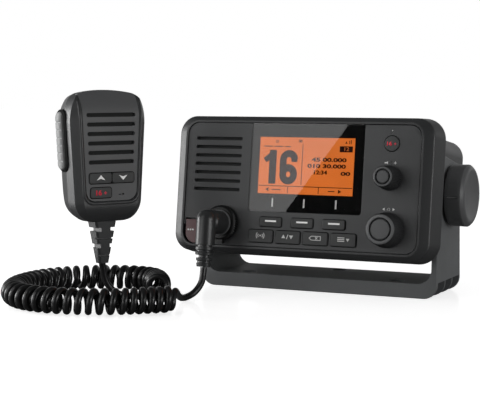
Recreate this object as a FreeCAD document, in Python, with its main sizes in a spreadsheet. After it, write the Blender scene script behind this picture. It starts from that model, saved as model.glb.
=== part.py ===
import FreeCAD, Part
import math
import os
import Sketcher
from FreeCAD import Placement, Rotation, Vector

# Fixed-mount marine VHF radio on its U bracket, with a fist microphone on a curly cord.
# Millimetres, +Z up, X to the right of the face, Y away from the operator.  The origin is the
# centre of the bracket's foot on the surface that it is screwed to.  The radio leans back about
# the clamp knobs' axis; the microphone stands beside it, turned towards the operator.

SIZES = [
    ("tilt", 7.6, "lean of the radio, degrees"),
    ("pivot_height", 60.7, "clamp axis above the foot"),
    ("face_ahead", 50.4, "face plane ahead of the clamp axis"),
    ("face_up", -0.46, "face centre above the clamp axis"),
    ("bezel_width", 170.0, "largest width of the bezel"),
    ("bezel_height", 85.0, "largest height of the bezel"),
    ("bezel_widest", 13.8, "depth of the widest section behind the face"),
    ("bezel_back", 16.0, "depth of the bezel's back edge"),
    ("rim_width", 164.1, "width across the front rim"),
    ("rim_height", 82.9, "height across the front rim"),
    ("rim_depth", 2.1, "depth of the front rim"),
    ("face_width", 150.3, "width of the face panel"),
    ("face_height", 74.5, "height of the face panel"),
    ("face_radius", 7.0, "corner radius of the face panel"),
    ("panel_back", 5.0, "depth of the back of the face panel"),
    ("lip_depth", 3.2, "depth where the bezel's lip holds the panel"),
    ("flange_width", 152.0, "width of the rear case's front flange"),
    ("flange_height", 76.0, "height of the rear case's front flange"),
    ("case_width", 142.0, "width of the rear case"),
    ("case_height", 74.0, "height of the rear case"),
    ("case_back", 106.0, "depth of the rear case's back wall"),
    ("case_wall", 3.0, "wall of the rear case"),
    ("board_front", 12.4, "depth of the circuit board's front"),
    ("board_thick", 1.6, "thickness of the circuit board"),
    ("fin_pitch", 8.0, "pitch of the cooling fins"),
    ("fin_depth", 7.0, "depth of the cooling fins"),
    ("glass_left", -32.3, "left edge of the display window"),
    ("glass_right", 40.4, "right edge of the display window"),
    ("glass_bottom", -16.0, "bottom edge of the display window"),
    ("glass_thick", 1.6, "thickness of the display window"),
    ("screen_left", -26.7, "left edge of the lit screen"),
    ("screen_right", 34.2, "right edge of the lit screen"),
    ("screen_bottom", -4.8, "bottom edge of the lit screen"),
    ("screen_top", 28.9, "top edge of the lit screen"),
    ("slot_left", -69.7, "left end of the speaker slots"),
    ("slot_right", -38.4, "right end of the speaker slots"),
    ("slot_top", 27.6, "centre of the top speaker slot"),
    ("slot_pitch", 5.17, "pitch of the speaker slots"),
    ("slot_height", 2.0, "height of a speaker slot"),
    ("soft_pitch", 20.35, "pitch of the soft keys"),
    ("soft_width", 14.4, "width of a soft key"),
    ("soft_height", 5.7, "height of a soft key"),
    ("function_pitch", 17.7, "pitch of the function keys"),
    ("function_width", 16.0, "width of a function key"),
    ("function_height", 7.6, "height of a function key"),
    ("key_gap", 0.35, "gap round a key"),
    ("knob_x", 57.2, "column of the two knobs and the power key"),
    ("volume_z", 6.3, "height of the volume knob on the face"),
    ("select_z", -23.8, "height of the select knob on the face"),
    ("power_z", 26.4, "height of the power key on the face"),
    ("volume_reach", 13.9, "volume knob's reach ahead of the face"),
    ("select_reach", 13.5, "select knob's reach ahead of the face"),
    ("shaft_radius", 3.0, "radius of the knob shafts"),
    ("socket_x", -48.56, "microphone socket across the face"),
    ("socket_z", -24.0, "microphone socket's height on the face"),
    ("plug_reach", 22.5, "plug's upright barrel ahead of the face"),
    ("plug_radius", 5.85, "radius of the plug's upright barrel"),
    ("collar_radius", 7.2, "radius of the plug's level barrel"),
    ("ring_radius", 10.8, "radius of the plug's locking ring"),
    ("door_left", -73.6, "left edge of the distress door"),
    ("door_right", -60.9, "right edge of the distress door"),
    ("door_top", -22.5, "top edge of the distress door"),
    ("door_bottom", -36.8, "bottom edge of the distress door"),
    ("bracket_width", 155.6, "width across the bracket's arms"),
    ("bracket_depth", 47.9, "depth of the bracket's foot"),
    ("arm_thick", 3.5, "thickness of a bracket arm"),
    ("foot_thick", 8.9, "thickness of the bracket's foot"),
    ("foot_hole_x", 49.2, "front screw holes either side of the middle"),
    ("foot_hole_radius", 2.6, "radius of the foot's screw holes"),
    ("stud_radius", 3.0, "radius of the clamp studs"),
    ("clamp_radius", 18.7, "radius of a clamp knob"),
    ("clamp_face", 16.0, "radius of a clamp knob's outer face"),
    ("clamp_reach", 91.6, "clamp knob's outer face from the middle"),
    ("mic_x", -95.5, "foot of the microphone's cord grip, across"),
    ("mic_y", -117.2, "foot of the microphone's cord grip, ahead"),
    ("mic_z", 23.5, "foot of the microphone's cord grip, height"),
    ("mic_yaw", 61.9, "turn of the microphone about the upright, degrees"),
    ("mic_bottom", 24.8, "bottom of the microphone above its cord grip's foot"),
    ("mic_top", 100.5, "top of the microphone above its cord grip's foot"),
    ("mic_front", 11.5, "front of the microphone ahead of its parting line"),
    ("mic_rear", 12.5, "back of the microphone behind its parting line"),
    ("cord", 4.0, "diameter of the cord"),
    ("coil", 16.0, "outer diameter of the cord's turns"),
]

doc = FreeCAD.newDocument("MarineRadio")
sheet = doc.addObject("Spreadsheet::Sheet", "Sizes")
for row, (alias, value, meaning) in enumerate(SIZES, start=1):
    sheet.set(f"A{row}", meaning)
    sheet.set(f"B{row}", str(value))
    sheet.setAlias(f"B{row}", alias)
doc.recompute()


class Dim:
    """A length together with the formula that ties it to the sheet."""

    def __init__(self, value, text):
        self.value = float(value)
        self.text = text

    def __float__(self):
        return self.value

    def __neg__(self):
        return Dim(-self.value, f"(-1 * {self.text})")

    def __add__(self, other):
        other = dim(other)
        return Dim(self.value + other.value, f"({self.text} + {other.text})")

    def __sub__(self, other):
        other = dim(other)
        return Dim(self.value - other.value, f"({self.text} - {other.text})")

    def __mul__(self, other):
        other = dim(other)
        return Dim(self.value * other.value, f"({self.text} * {other.text})")

    def __truediv__(self, other):
        other = dim(other)
        return Dim(self.value / other.value, f"({self.text} / {other.text})")

    def __radd__(self, other):
        return dim(other) + self

    def __rsub__(self, other):
        return dim(other) - self

    def __rmul__(self, other):
        return dim(other) * self


def dim(number):
    return number if isinstance(number, Dim) else Dim(number, f"({float(number)!r})")


class Sizes:
    """The sheet's cells by name."""


size = Sizes()
for alias, value, meaning in SIZES:
    setattr(size, alias, Dim(value, f"Sizes.{alias}"))


def bind(thing, path, length):
    """Sets nothing but the formula: a plain number has none."""
    if isinstance(length, Dim) and "Sizes." in length.text:
        thing.setExpression(path, length.text)


def turned(angle):
    """The cosine and sine of an angle held in the sheet."""
    radians = math.radians(float(angle))
    cosine = Dim(math.cos(radians), f"cos({angle.text})")
    sine = Dim(math.sin(radians), f"sin({angle.text})")
    return cosine, sine


# ---------------------------------------------------------------- where things sit

def seat(thing, x=0, y=0, z=0, axis=Vector(0, 0, 1), angle=0):
    spot = [dim(x), dim(y), dim(z)]
    thing.Placement = Placement(Vector(*map(float, spot)), Rotation(axis, float(angle)))
    for name, value in zip("xyz", spot):
        bind(thing, f"Placement.Base.{name}", value)
    bind(thing, "Placement.Rotation.Angle", angle)
    return thing


def seat_on_face(thing, x=0, z=0, out=0):
    """Face frame: origin on the face plane, x right, y into the case, z up the leaning face."""
    cosine, sine = turned(size.tilt)
    ahead = (size.face_ahead + out) * -1
    rise = size.face_up + z
    return seat(
        thing, x, ahead * cosine + rise * sine, size.pivot_height + rise * cosine - ahead * sine,
        Vector(1, 0, 0), -size.tilt,
    )


def seat_on_mic(thing, rise=0):
    """Microphone frame: origin at the foot of its cord grip, y from its face to its back."""
    return seat(thing, size.mic_x, size.mic_y, size.mic_z + rise, Vector(0, 0, 1), size.mic_yaw)


# ---------------------------------------------------------------- drawing and solids

def new_body(label):
    made = doc.addObject("PartDesign::Body", label)
    made.Label = label
    return made


def origin_plane(made, role):
    return next(item for item in made.Origin.OriginFeatures if item.Role == role)


def new_sketch(made, role="XZ_Plane", offset=0):
    """A sketch on one of the body's own planes; offset is along that plane's normal."""
    sketch = made.newObject("Sketcher::SketchObject", f"{made.Label}_sketch")
    sketch.AttachmentSupport = [(origin_plane(made, role), "")]
    sketch.MapMode = "FlatFace"
    sketch.AttachmentOffset = Placement(Vector(0, 0, float(offset)), Rotation())
    bind(sketch, "AttachmentOffset.Base.z", offset)
    return sketch


def face_sketch(made, depth=0):
    """A sketch parallel to the face, depth behind it."""
    return new_sketch(made, "XZ_Plane", dim(depth) * -1)


def fix_point(sketch, shape, end, point):
    for kind, length in zip(("DistanceX", "DistanceY"), point):
        number = sketch.addConstraint(Sketcher.Constraint(kind, -1, 1, shape, end, float(length)))
        bind(sketch, f"Constraints[{number}]", length)


def draw_arc(sketch, first, last, radius, turn):
    """An arc from first to last; turn +1 runs anticlockwise, -1 clockwise."""
    start, end = Vector(*map(float, first), 0), Vector(*map(float, last), 0)
    chord = end - start
    half = chord.Length / 2
    rise = math.sqrt(max(float(radius) ** 2 - half ** 2, 0))
    side = Vector(-chord.y, chord.x, 0).normalize() * rise * turn
    centre = (start + end) / 2 + side
    if turn < 0:
        start, end = end, start
    first_angle = math.atan2(start.y - centre.y, start.x - centre.x)
    last_angle = math.atan2(end.y - centre.y, end.x - centre.x)
    circle = Part.Circle(centre, Vector(0, 0, 1), float(radius))
    shape = sketch.addGeometry(Part.ArcOfCircle(circle, first_angle, last_angle))
    number = sketch.addConstraint(Sketcher.Constraint("Radius", shape, float(radius)))
    bind(sketch, f"Constraints[{number}]", radius)
    return shape, (1, 2) if turn > 0 else (2, 1)


def outline(sketch, start, *moves):
    """A closed outline: each move is (point) for a line or (point, radius, turn) for an arc."""
    spots = [start] + [move[0] if len(move) == 3 else move for move in moves]
    spots[-1] = start
    drawn = []
    for index, move in enumerate(moves):
        first, last = spots[index], spots[index + 1]
        if len(move) == 3:
            drawn.append(draw_arc(sketch, first, last, move[1], move[2]))
        else:
            line = Part.LineSegment(Vector(*map(float, first), 0), Vector(*map(float, last), 0))
            drawn.append((sketch.addGeometry(line), (1, 2)))
    for index, (shape, ends) in enumerate(drawn):
        after, after_ends = drawn[(index + 1) % len(drawn)]
        sketch.addConstraint(Sketcher.Constraint("Coincident", shape, ends[1], after, after_ends[0]))
        fix_point(sketch, shape, ends[0], spots[index])
    return sketch


def rounded(sketch, left, right, bottom, top, radius):
    """A rectangle with round corners."""
    left, right, bottom, top = map(dim, (left, right, bottom, top))
    return outline(
        sketch, (left + radius, bottom),
        (right - radius, bottom), ((right, bottom + radius), radius, 1),
        (right, top - radius), ((right - radius, top), radius, 1),
        (left + radius, top), ((left, top - radius), radius, 1),
        (left, bottom + radius), ((left + radius, bottom), radius, 1),
    )


def middled(sketch, width, height, radius):
    width, height = dim(width), dim(height)
    return rounded(sketch, width / -2, width / 2, height / -2, height / 2, radius)


def circle(sketch, x, y, radius):
    shape = sketch.addGeometry(Part.Circle(Vector(float(x), float(y), 0), Vector(0, 0, 1), float(radius)))
    fix_point(sketch, shape, 3, (x, y))
    number = sketch.addConstraint(Sketcher.Constraint("Radius", shape, float(radius)))
    bind(sketch, f"Constraints[{number}]", radius)
    return sketch


def extrude(made, kind, sketch, length, back, both):
    feature = made.newObject(f"PartDesign::{kind}", f"{made.Label}_{kind.lower()}")
    feature.Profile = sketch
    feature.Length = float(length)
    bind(feature, "Length", length)
    feature.Reversed = back
    if both:
        feature.SideType = "Symmetric"
    return feature


def pad(made, sketch, length, back=False, both=False):
    """Adds material towards the sketch plane's normal, or away from it where back is set."""
    return extrude(made, "Pad", sketch, length, back, both)


def pocket(made, sketch, length, back=False, both=False):
    """Cuts against the sketch plane's normal, and must take something away."""
    doc.recompute()
    before = made.Shape.Volume
    feature = extrude(made, "Pocket", sketch, length, back, both)
    doc.recompute()
    if not made.Shape.Volume < before - 0.001:
        raise RuntimeError(f"a pocket in {made.Label} cuts nothing")
    return feature


def slab(made, length, sketch):
    """Material from a face sketch back into the case."""
    return pad(made, sketch, length, back=True)


def spin(made, points, role="XY_Plane", axis="V_Axis"):
    """A turned form: the points are (radius, along) and the sketch's upright axis is the centre."""
    sketch = new_sketch(made, role)
    outline(sketch, *points)
    return revolve(made, sketch, axis)


def revolve(made, sketch, axis):
    feature = made.newObject("PartDesign::Revolution", f"{made.Label}_turned")
    feature.Profile = sketch
    feature.ReferenceAxis = (sketch, [axis])
    feature.Angle = 360
    return feature


def trim(made, role, start, *moves, reach=400):
    """Cuts away all that lies outside a silhouette seen square to a plane."""
    sketch = new_sketch(made, role)
    outline(sketch, start, *moves)
    outline(sketch, (-reach, -reach), (reach, -reach), (reach, reach), (-reach, reach), (-reach, -reach))
    return pocket(made, sketch, reach, both=True)


def repeat(made, feature, axis, count, pitch):
    """A row of a feature along one of the body's axes."""
    row = made.newObject("PartDesign::LinearPattern", f"{made.Label}_row")
    row.Originals = [feature]
    row.Direction = (origin_plane(made, axis), [""])
    row.Length = float(pitch) * (count - 1)
    bind(row, "Length", pitch * (count - 1))
    row.Occurrences = count
    made.Tip = row
    return row


def dress(made, kind, amount, wanted):
    """A fillet or chamfer on the edges that the test picks."""
    doc.recompute()
    tip = made.Tip
    names = [f"Edge{number}" for number, edge in enumerate(tip.Shape.Edges, start=1) if wanted(edge)]
    if not names:
        raise RuntimeError(f"no edge to dress on {made.Label}")
    feature = made.newObject(f"PartDesign::{kind}", f"{made.Label}_{kind.lower()}")
    feature.Base = (tip, names)
    setattr(feature, "Radius" if kind == "Fillet" else "Size", float(amount))
    doc.recompute()
    return feature


def flat_at(axis, value, slack=0.02):
    """True for an edge that lies wholly at one value of an axis."""
    def test(edge):
        box = edge.BoundBox
        low, high = getattr(box, f"{axis}Min"), getattr(box, f"{axis}Max")
        return abs(low - float(value)) < slack and abs(high - float(value)) < slack
    return test


def every(*tests):
    return lambda edge: all(test(edge) for test in tests)


# ---------------------------------------------------------------- bracket and clamps

ARM_INNER = size.bracket_width / 2 - size.arm_thick
ARM_OUTER = size.bracket_width / 2
FOOT_CORNER = 8.4
WINDOW_CORNER = 8.5
ARM_RAW_TOP = 90.0


def mounting_bracket():
    """Moulded U bracket: tapering arms with sloped tops, a flat foot and ribbed hollow corners."""
    made = new_body("mounting_bracket")
    profile = new_sketch(made)
    outline(
        profile, (FOOT_CORNER - ARM_OUTER, 0),
        (ARM_OUTER - FOOT_CORNER, 0), ((ARM_OUTER, FOOT_CORNER), FOOT_CORNER, 1),
        (ARM_OUTER, ARM_RAW_TOP), (ARM_INNER, ARM_RAW_TOP),
        (ARM_INNER, size.foot_thick + WINDOW_CORNER),
        ((ARM_INNER - WINDOW_CORNER, size.foot_thick), WINDOW_CORNER, -1),
        (WINDOW_CORNER - ARM_INNER, size.foot_thick),
        ((-ARM_INNER, size.foot_thick + WINDOW_CORNER), WINDOW_CORNER, -1),
        (-ARM_INNER, ARM_RAW_TOP), (-ARM_OUTER, ARM_RAW_TOP),
        (-ARM_OUTER, FOOT_CORNER), ((FOOT_CORNER - ARM_OUTER, 0), FOOT_CORNER, 1),
    )
    pad(made, profile, size.bracket_depth, both=True)
    half = size.bracket_depth / 2
    trim(
        made, "YZ_Plane", (-half, 0),
        (half, 0), (half, size.foot_thick), (20.9, 74.5), ((17.2, 78.7), 4.3, 1),
        (-13.0, 85.6), ((-20.5, 79.5), 6.5, 1), (-half, size.foot_thick), (-half, 0),
    )
    hole = new_sketch(made, "YZ_Plane")
    circle(hole, 0, size.pivot_height, size.stud_radius + 0.3)
    pocket(made, hole, size.bracket_width + 20, both=True)
    screw_holes(made)
    corner_bays(made)
    dress(made, "Fillet", 0.8, lambda edge: edge.BoundBox.ZLength > 40
          and abs(edge.BoundBox.XMin) > float(ARM_OUTER) - 1)
    return made


def screw_holes(made):
    """Two holes near the front edge and one at the back, each in a shallow round seat."""
    spots = [(-size.foot_hole_x, -14), (size.foot_hole_x, -14), (0, 17)]
    holes = new_sketch(made, "XY_Plane")
    seats = new_sketch(made, "XY_Plane", size.foot_thick)
    for x, y in spots:
        circle(holes, x, y, size.foot_hole_radius)
        circle(seats, x, y, 4.9)
    pocket(made, holes, 30, both=True)
    pocket(made, seats, 1.0)


def corner_bays(made):
    """Three open bays between ribs under each outer corner of the foot."""
    inner, outer = 9.4, 3.3
    for middle, width in ((-14.6, 13.4), (0, 12.6), (14.6, 13.4)):
        bay = new_sketch(made, "XZ_Plane", -middle)
        for side in (1, -1):
            outline(
                bay, ((ARM_OUTER - inner) * side, -1), ((ARM_OUTER + 1) * side, -1),
                ((ARM_OUTER + 1) * side, 9.6), ((ARM_OUTER - outer) * side, 9.6),
                ((ARM_OUTER - inner) * side, 4.8), ((ARM_OUTER - inner) * side, -1),
            )
        pocket(made, bay, width, both=True)


def clamp_washer(side):
    """Thin nylon washer between the bracket arm and the clamp knob."""
    made = new_body(f"clamp_washer_{side}")
    spin(made, [
        (size.stud_radius + 0.05, 0.1), (12.0, 0.1), (12.0, 1.3), (size.stud_radius + 0.05, 1.3),
        (size.stud_radius + 0.05, 0.1),
    ])
    return seat_clamp(made, side)


def seat_clamp(made, side):
    """Turned parts of a clamp: their own +Y points outwards from the arm's outer face."""
    if side == "right":
        return seat(made, ARM_OUTER, 0, size.pivot_height, Vector(0, 0, 1), -90)
    return seat(made, -ARM_OUTER, 0, size.pivot_height, Vector(0, 0, 1), 90)


def clamp_knob(side):
    """Round hand knob with a bevelled edge, a dished face and a pointer groove in its rim."""
    made = new_body(f"clamp_knob_{side}")
    reach = size.clamp_reach - ARM_OUTER
    spin(made, [
        (0, 9.6), (size.stud_radius, 9.6), (size.stud_radius, 1.6), (size.clamp_radius - 1.2, 1.6),
        ((size.clamp_radius - 0.3, 2.6), 1.4, 1), (size.clamp_radius, reach - 2.6),
        ((size.clamp_radius - 0.6, reach - 1.6), 1.2, 1), ((size.clamp_face, reach), 4.0, 1),
        (size.clamp_face - 1.0, reach), ((0, reach - 1.6), 80.0, -1), (0, 9.6),
    ])
    groove = new_sketch(made, "YZ_Plane", (size.clamp_radius - 0.7) * pointer_side(side))
    rounded(groove, 2.6, reach - 3.6, -0.6, 0.6, 0.5)
    pocket(made, groove, 3.0, back=pointer_side(side) > 0)
    return seat_clamp(made, side)


def pointer_side(side):
    """The pointer groove faces the operator on both knobs."""
    return 1 if side == "right" else -1


def clamp_stud(side):
    """Steel stud moulded into the clamp knob, reaching through the arm into the radio."""
    made = new_body(f"clamp_stud_{side}")
    inner = ARM_OUTER - 62.5
    spin(made, [
        (0, -inner), (size.stud_radius - 0.5, -inner), (size.stud_radius, 0.5 - inner),
        (size.stud_radius, 9.5), (0, 9.5), (0, -inner),
    ])
    return seat_clamp(made, side)


# ---------------------------------------------------------------- radio housing

def front_bezel():
    """Flared surround: a raised lip round the face, a sloping band and sides that widen backwards."""
    made = new_body("front_bezel")
    sections = [
        (-0.6, size.face_width + 3.2, size.face_height + 3.0, size.face_radius + 1.4),
        (size.rim_depth, size.rim_width, size.rim_height, 11.0),
        (size.bezel_widest, size.bezel_width, size.bezel_height, 12.5),
        (size.bezel_back, size.bezel_width - 2.0, size.bezel_height - 2.0, 11.5),
    ]
    sketches = [middled(face_sketch(made, depth), width, height, radius)
                for depth, width, height, radius in sections]
    loft = made.newObject("PartDesign::AdditiveLoft", "front_bezel_loft")
    loft.Profile = sketches[0]
    loft.Sections = sketches[1:]
    loft.Ruled = True
    opening = face_sketch(made, -2)
    middled(opening, size.face_width + 0.5, size.face_height + 0.5, size.face_radius + 0.2)
    pocket(made, opening, 30)
    inner = face_sketch(made, size.lip_depth)
    middled(inner, size.face_width + 7.7, size.face_height + 4.5, 8.5)
    pocket(made, inner, 30)
    dress(made, "Fillet", 1.6, lambda edge: abs(edge.BoundBox.YMin - float(size.rim_depth)) < 0.05
          and abs(edge.BoundBox.YMax - float(size.rim_depth)) < 0.05)
    dress(made, "Fillet", 0.5, every(flat_at("Y", -0.6), outside_face))
    return seat_on_face(made)


def outside_face(edge):
    """True for an edge outside the face opening."""
    box = edge.BoundBox
    return max(abs(box.XMin), abs(box.XMax)) > 75.7 or max(abs(box.ZMin), abs(box.ZMax)) > 37.7


def face_row(count, pitch, middle):
    """Centres of a row of keys."""
    return [middle + pitch * (index - (count - 1) / 2) for index in range(count)]


SOFT_Z = -22.05
SOFT_MIDDLE = 3.6
FUNCTION_Z = -30.8
FUNCTION_MIDDLE = 3.85
SOFT_KEYS = ("soft_key_left", "soft_key_centre", "soft_key_right")
FUNCTION_KEYS = ("function_key_1", "function_key_2", "function_key_3", "function_key_4")
DISTRESS_X, DISTRESS_Z = -67.2, -29.0
RECESS_LEFT, RECESS_RIGHT, RECESS_TOP, RECESS_DEPTH = -74.2, -60.2, -21.6, 3.3
HINGE_Z, HINGE_DEPTH = -23.6, 1.1


def front_panel():
    """Face plate with the speaker slots, the window seat and an opening for every control."""
    made = new_body("front_panel")
    slab(made, size.panel_back, middled(face_sketch(made), size.face_width, size.face_height,
                                        size.face_radius))
    flange = face_sketch(made, size.lip_depth)
    middled(flange, size.face_width + 7.1, size.face_height + 3.9, 8.2)
    slab(made, size.panel_back - size.lip_depth, flange)
    slot = face_sketch(made, -1)
    middle, half = size.slot_top, size.slot_height / 2
    rounded(slot, size.slot_left, size.slot_right, middle - half, middle + half, size.slot_height * 0.48)
    first = pocket(made, slot, 20)
    repeat(made, first, "Z_Axis", 7, size.slot_pitch).Reversed = True
    window_seat(made)
    key_openings(made)
    door_recess(made)
    dress(made, "Fillet", 0.4, every(flat_at("Y", 0), lambda edge: edge.BoundBox.XLength > 100))
    return seat_on_face(made)


def window_seat(made):
    """Seat for the display window, open at the top edge, and a through window for the screen."""
    seat_sketch = face_sketch(made, 0)
    top = size.face_height / 2 + 1
    outline(
        seat_sketch, (size.glass_left + 2, size.glass_bottom),
        (size.glass_right - 2, size.glass_bottom), ((size.glass_right, size.glass_bottom + 2), 2.0, 1),
        (size.glass_right, top), (size.glass_left, top), (size.glass_left, size.glass_bottom + 2),
        ((size.glass_left + 2, size.glass_bottom), 2.0, 1),
    )
    pocket(made, seat_sketch, size.glass_thick)
    through = face_sketch(made, 0)
    rounded(through, size.screen_left - 1.8, size.screen_right + 1.8, size.screen_bottom - 1.8,
            size.screen_top + 1.8, 1.0)
    pocket(made, through, 20)


def key_openings(made):
    openings = face_sketch(made, -1)
    gap = size.key_gap
    for count, pitch, middle, z, width, height in (
        (3, size.soft_pitch, SOFT_MIDDLE, SOFT_Z, size.soft_width, size.soft_height),
        (4, size.function_pitch, FUNCTION_MIDDLE, FUNCTION_Z, size.function_width, size.function_height),
    ):
        for x in face_row(count, pitch, middle):
            rounded(openings, x - width / 2 - gap, x + width / 2 + gap, z - height / 2 - gap,
                    z + height / 2 + gap, 1.4)
    circle(openings, size.knob_x, size.power_z, 4.5 + size.key_gap)
    circle(openings, size.knob_x, size.volume_z, size.shaft_radius + 0.4)
    circle(openings, size.knob_x, size.select_z, size.shaft_radius + 0.4)
    circle(openings, size.socket_x, size.socket_z, 8.85)
    circle(openings, DISTRESS_X, DISTRESS_Z, 3.5)
    pocket(made, openings, 20)


def door_recess(made):
    """Recess of the distress door: open to the panel's corner but for a lug that holds the pin."""
    recess = face_sketch(made, 0)
    bottom = size.face_height / -2 - 1
    outline(
        recess, (RECESS_LEFT, RECESS_TOP), (RECESS_LEFT, HINGE_Z - 1.8),
        (size.face_width / -2 - 1, HINGE_Z - 1.8), (size.face_width / -2 - 1, bottom),
        (RECESS_RIGHT, bottom), (RECESS_RIGHT, RECESS_TOP), (RECESS_LEFT, RECESS_TOP),
    )
    pocket(made, recess, RECESS_DEPTH)
    pin = new_sketch(made, "YZ_Plane", RECESS_LEFT - 2)
    circle(pin, HINGE_DEPTH, HINGE_Z, 0.6)
    pocket(made, pin, RECESS_RIGHT - RECESS_LEFT + 3, back=True)


def distress_door():
    """Spring door over the distress key: a thin lid following the panel's corner, on a barrel."""
    made = new_body("distress_door")
    lid = face_sketch(made, -0.2)
    left, right, bottom, top = size.door_left, size.door_right, size.door_bottom, size.door_top
    outline(
        lid, (left + 6.4, bottom), (right, bottom), (right, top), (left, top), (left, bottom + 6.4),
        ((left + 6.4, bottom), 6.4, 1),
    )
    slab(made, 1.6, lid)
    barrel = new_sketch(made, "YZ_Plane", size.door_left)
    circle(barrel, HINGE_DEPTH, HINGE_Z, 1.1)
    pad(made, barrel, size.door_right - size.door_left)
    bore = new_sketch(made, "YZ_Plane", size.door_left - 1)
    circle(bore, HINGE_DEPTH, HINGE_Z, 0.64)
    pocket(made, bore, 30, back=True)
    return seat_on_face(made)


def door_pin():
    """Hinge pin of the distress door, held in the panel at both ends."""
    made = new_body("door_pin")
    pin = new_sketch(made, "YZ_Plane", RECESS_LEFT - 0.8)
    circle(pin, HINGE_DEPTH, HINGE_Z, 0.59)
    pad(made, pin, RECESS_RIGHT - RECESS_LEFT + 1.6)
    return seat_on_face(made)


def display_glass():
    """Window over the screen, flush with the face."""
    made = new_body("display_glass")
    glass = face_sketch(made, 0)
    gap = 0.12
    outline(
        glass, (size.glass_left + 2, size.glass_bottom + gap),
        (size.glass_right - 2, size.glass_bottom + gap),
        ((size.glass_right - gap, size.glass_bottom + 2), 2.0 - gap, 1),
        (size.glass_right - gap, size.face_height / 2), (size.glass_left + gap, size.face_height / 2),
        (size.glass_left + gap, size.glass_bottom + 2),
        ((size.glass_left + 2, size.glass_bottom + gap), 2.0 - gap, 1),
    )
    slab(made, size.glass_thick - 0.05, glass)
    return seat_on_face(made)


def lcd_module():
    """Backlit screen that looks through the panel's window and stands on the circuit board."""
    made = new_body("lcd_module")
    screen = face_sketch(made, size.glass_thick + 0.1)
    rounded(screen, size.screen_left - 1.4, size.screen_right + 1.4, size.screen_bottom - 1.4,
            size.screen_top + 1.4, 0.8)
    slab(made, 5, screen)
    frame = face_sketch(made, size.panel_back + 0.1)
    rounded(frame, size.screen_left - 4, size.screen_right + 4, size.screen_bottom - 4,
            size.screen_top + 3.5, 1.0)
    slab(made, size.board_front - size.panel_back - 0.1, frame)
    return seat_on_face(made)


def circuit_board():
    """L-shaped main board, reaching under the microphone socket and the distress key."""
    made = new_body("circuit_board")
    board = face_sketch(made, size.board_front)
    side = size.flange_width / 2 - size.case_wall - 0.4
    high = size.flange_height / 2 - size.case_wall - 0.4
    corner = 7.0
    outline(
        board, (corner - side, -high), (side - corner, -high), ((side, corner - high), corner, 1),
        (side, high - corner), ((side - corner, high), corner, 1), (-34, high), (-34, -8), (-side, -8),
        (-side, corner - high), ((corner - side, -high), corner, 1),
    )
    slab(made, size.board_thick, board)
    return seat_on_face(made)


def speaker():
    """Loudspeaker behind the slots: flange, cone basket and magnet."""
    made = new_body("speaker")
    back = size.panel_back
    spin(made, [
        (0, back + 2.0), (13.0, back + 0.2), (14.0, back), (17.0, back), (17.0, back + 1.6),
        (15.0, back + 1.8), (9.5, back + 7.5), (9.5, back + 12.0), (0, back + 12.0), (0, back + 2.0),
    ])
    return seat_on_face(made, -54.0, 12.0)


def rear_case():
    """Rear housing: a wide front flange, a narrower shell with side bosses and bevelled back edges."""
    made = new_body("rear_housing")
    length = size.case_back - size.panel_back
    slab(made, length, middled(face_sketch(made, size.panel_back), size.case_width, size.case_height,
                               CASE_CORNER))
    dress(made, "Chamfer", 9.0, flat_at("Y", size.case_back))
    flange = face_sketch(made, size.panel_back)
    middled(flange, size.flange_width, size.flange_height, CASE_CORNER)
    slab(made, FLANGE_DEPTH - size.panel_back, flange)
    axis_y, axis_z = size.face_ahead, -size.face_up
    boss = new_sketch(made, "YZ_Plane")
    circle(boss, axis_y, axis_z, 13.0)
    pad(made, boss, (ARM_INNER - 0.5) * 2, both=True)
    wall = size.case_wall
    hollow = face_sketch(made, size.panel_back)
    middled(hollow, size.flange_width - wall * 2, size.flange_height - wall * 2, 7.0)
    ledge = size.board_front + size.board_thick
    pocket(made, hollow, ledge - size.panel_back)
    deep = face_sketch(made, ledge)
    middled(deep, size.case_width - wall * 2, size.case_height - wall * 4, 5.0)
    pocket(made, deep, size.case_back - ledge - 9)
    inserts = new_sketch(made, "YZ_Plane")
    circle(inserts, axis_y, axis_z, 8.0)
    pad(made, inserts, size.case_width - 4, both=True)
    middle = new_sketch(made, "YZ_Plane")
    circle(middle, axis_y, axis_z, 9.0)
    pocket(made, middle, (INSERT_INNER - 1.5) * 2, both=True)
    bore = new_sketch(made, "YZ_Plane")
    circle(bore, axis_y, axis_z, INSERT_RADIUS + 0.02)
    pocket(made, bore, size.bracket_width, both=True)
    cooling_fins(made)
    rear_openings(made)
    return seat_on_face(made)


FLANGE_DEPTH = 18.0
CASE_CORNER = 11.0
INSERT_RADIUS = 4.5
INSERT_INNER = 60.0
CONNECTOR_X, CONNECTOR_Z = 41.0, 11.0
GLAND_X, GLAND_Z = 41.0, -13.0
SCREW_SPOTS = [(-57.5, -20.0), (-57.5, 20.0), (57.5, -20.0), (57.5, 20.0)]


def cooling_fins(made):
    """Upright fins across the back, beside a flat pad for the two connectors."""
    fin = face_sketch(made, size.case_back - 0.5)
    rounded(fin, -51.0, -48.8, -25.0, 25.0, 1.0)
    first = slab(made, size.fin_depth + 0.5, fin)
    repeat(made, first, "X_Axis", 10, size.fin_pitch)
    plate = face_sketch(made, size.case_back - 0.5)
    rounded(plate, 29.0, 53.0, -25.0, 25.0, 3.0)
    slab(made, 2.5, plate)


def rear_openings(made):
    """Holes for the antenna connector, the power gland and the case screws."""
    holes = face_sketch(made, size.case_back - 20)
    circle(holes, CONNECTOR_X, CONNECTOR_Z, 6.05)
    circle(holes, GLAND_X, GLAND_Z, 5.05)
    pocket(made, holes, 40)
    screws = face_sketch(made, size.case_back - 30)
    for x, z in SCREW_SPOTS:
        circle(screws, x, z, 1.52)
    pocket(made, screws, 40)


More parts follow.
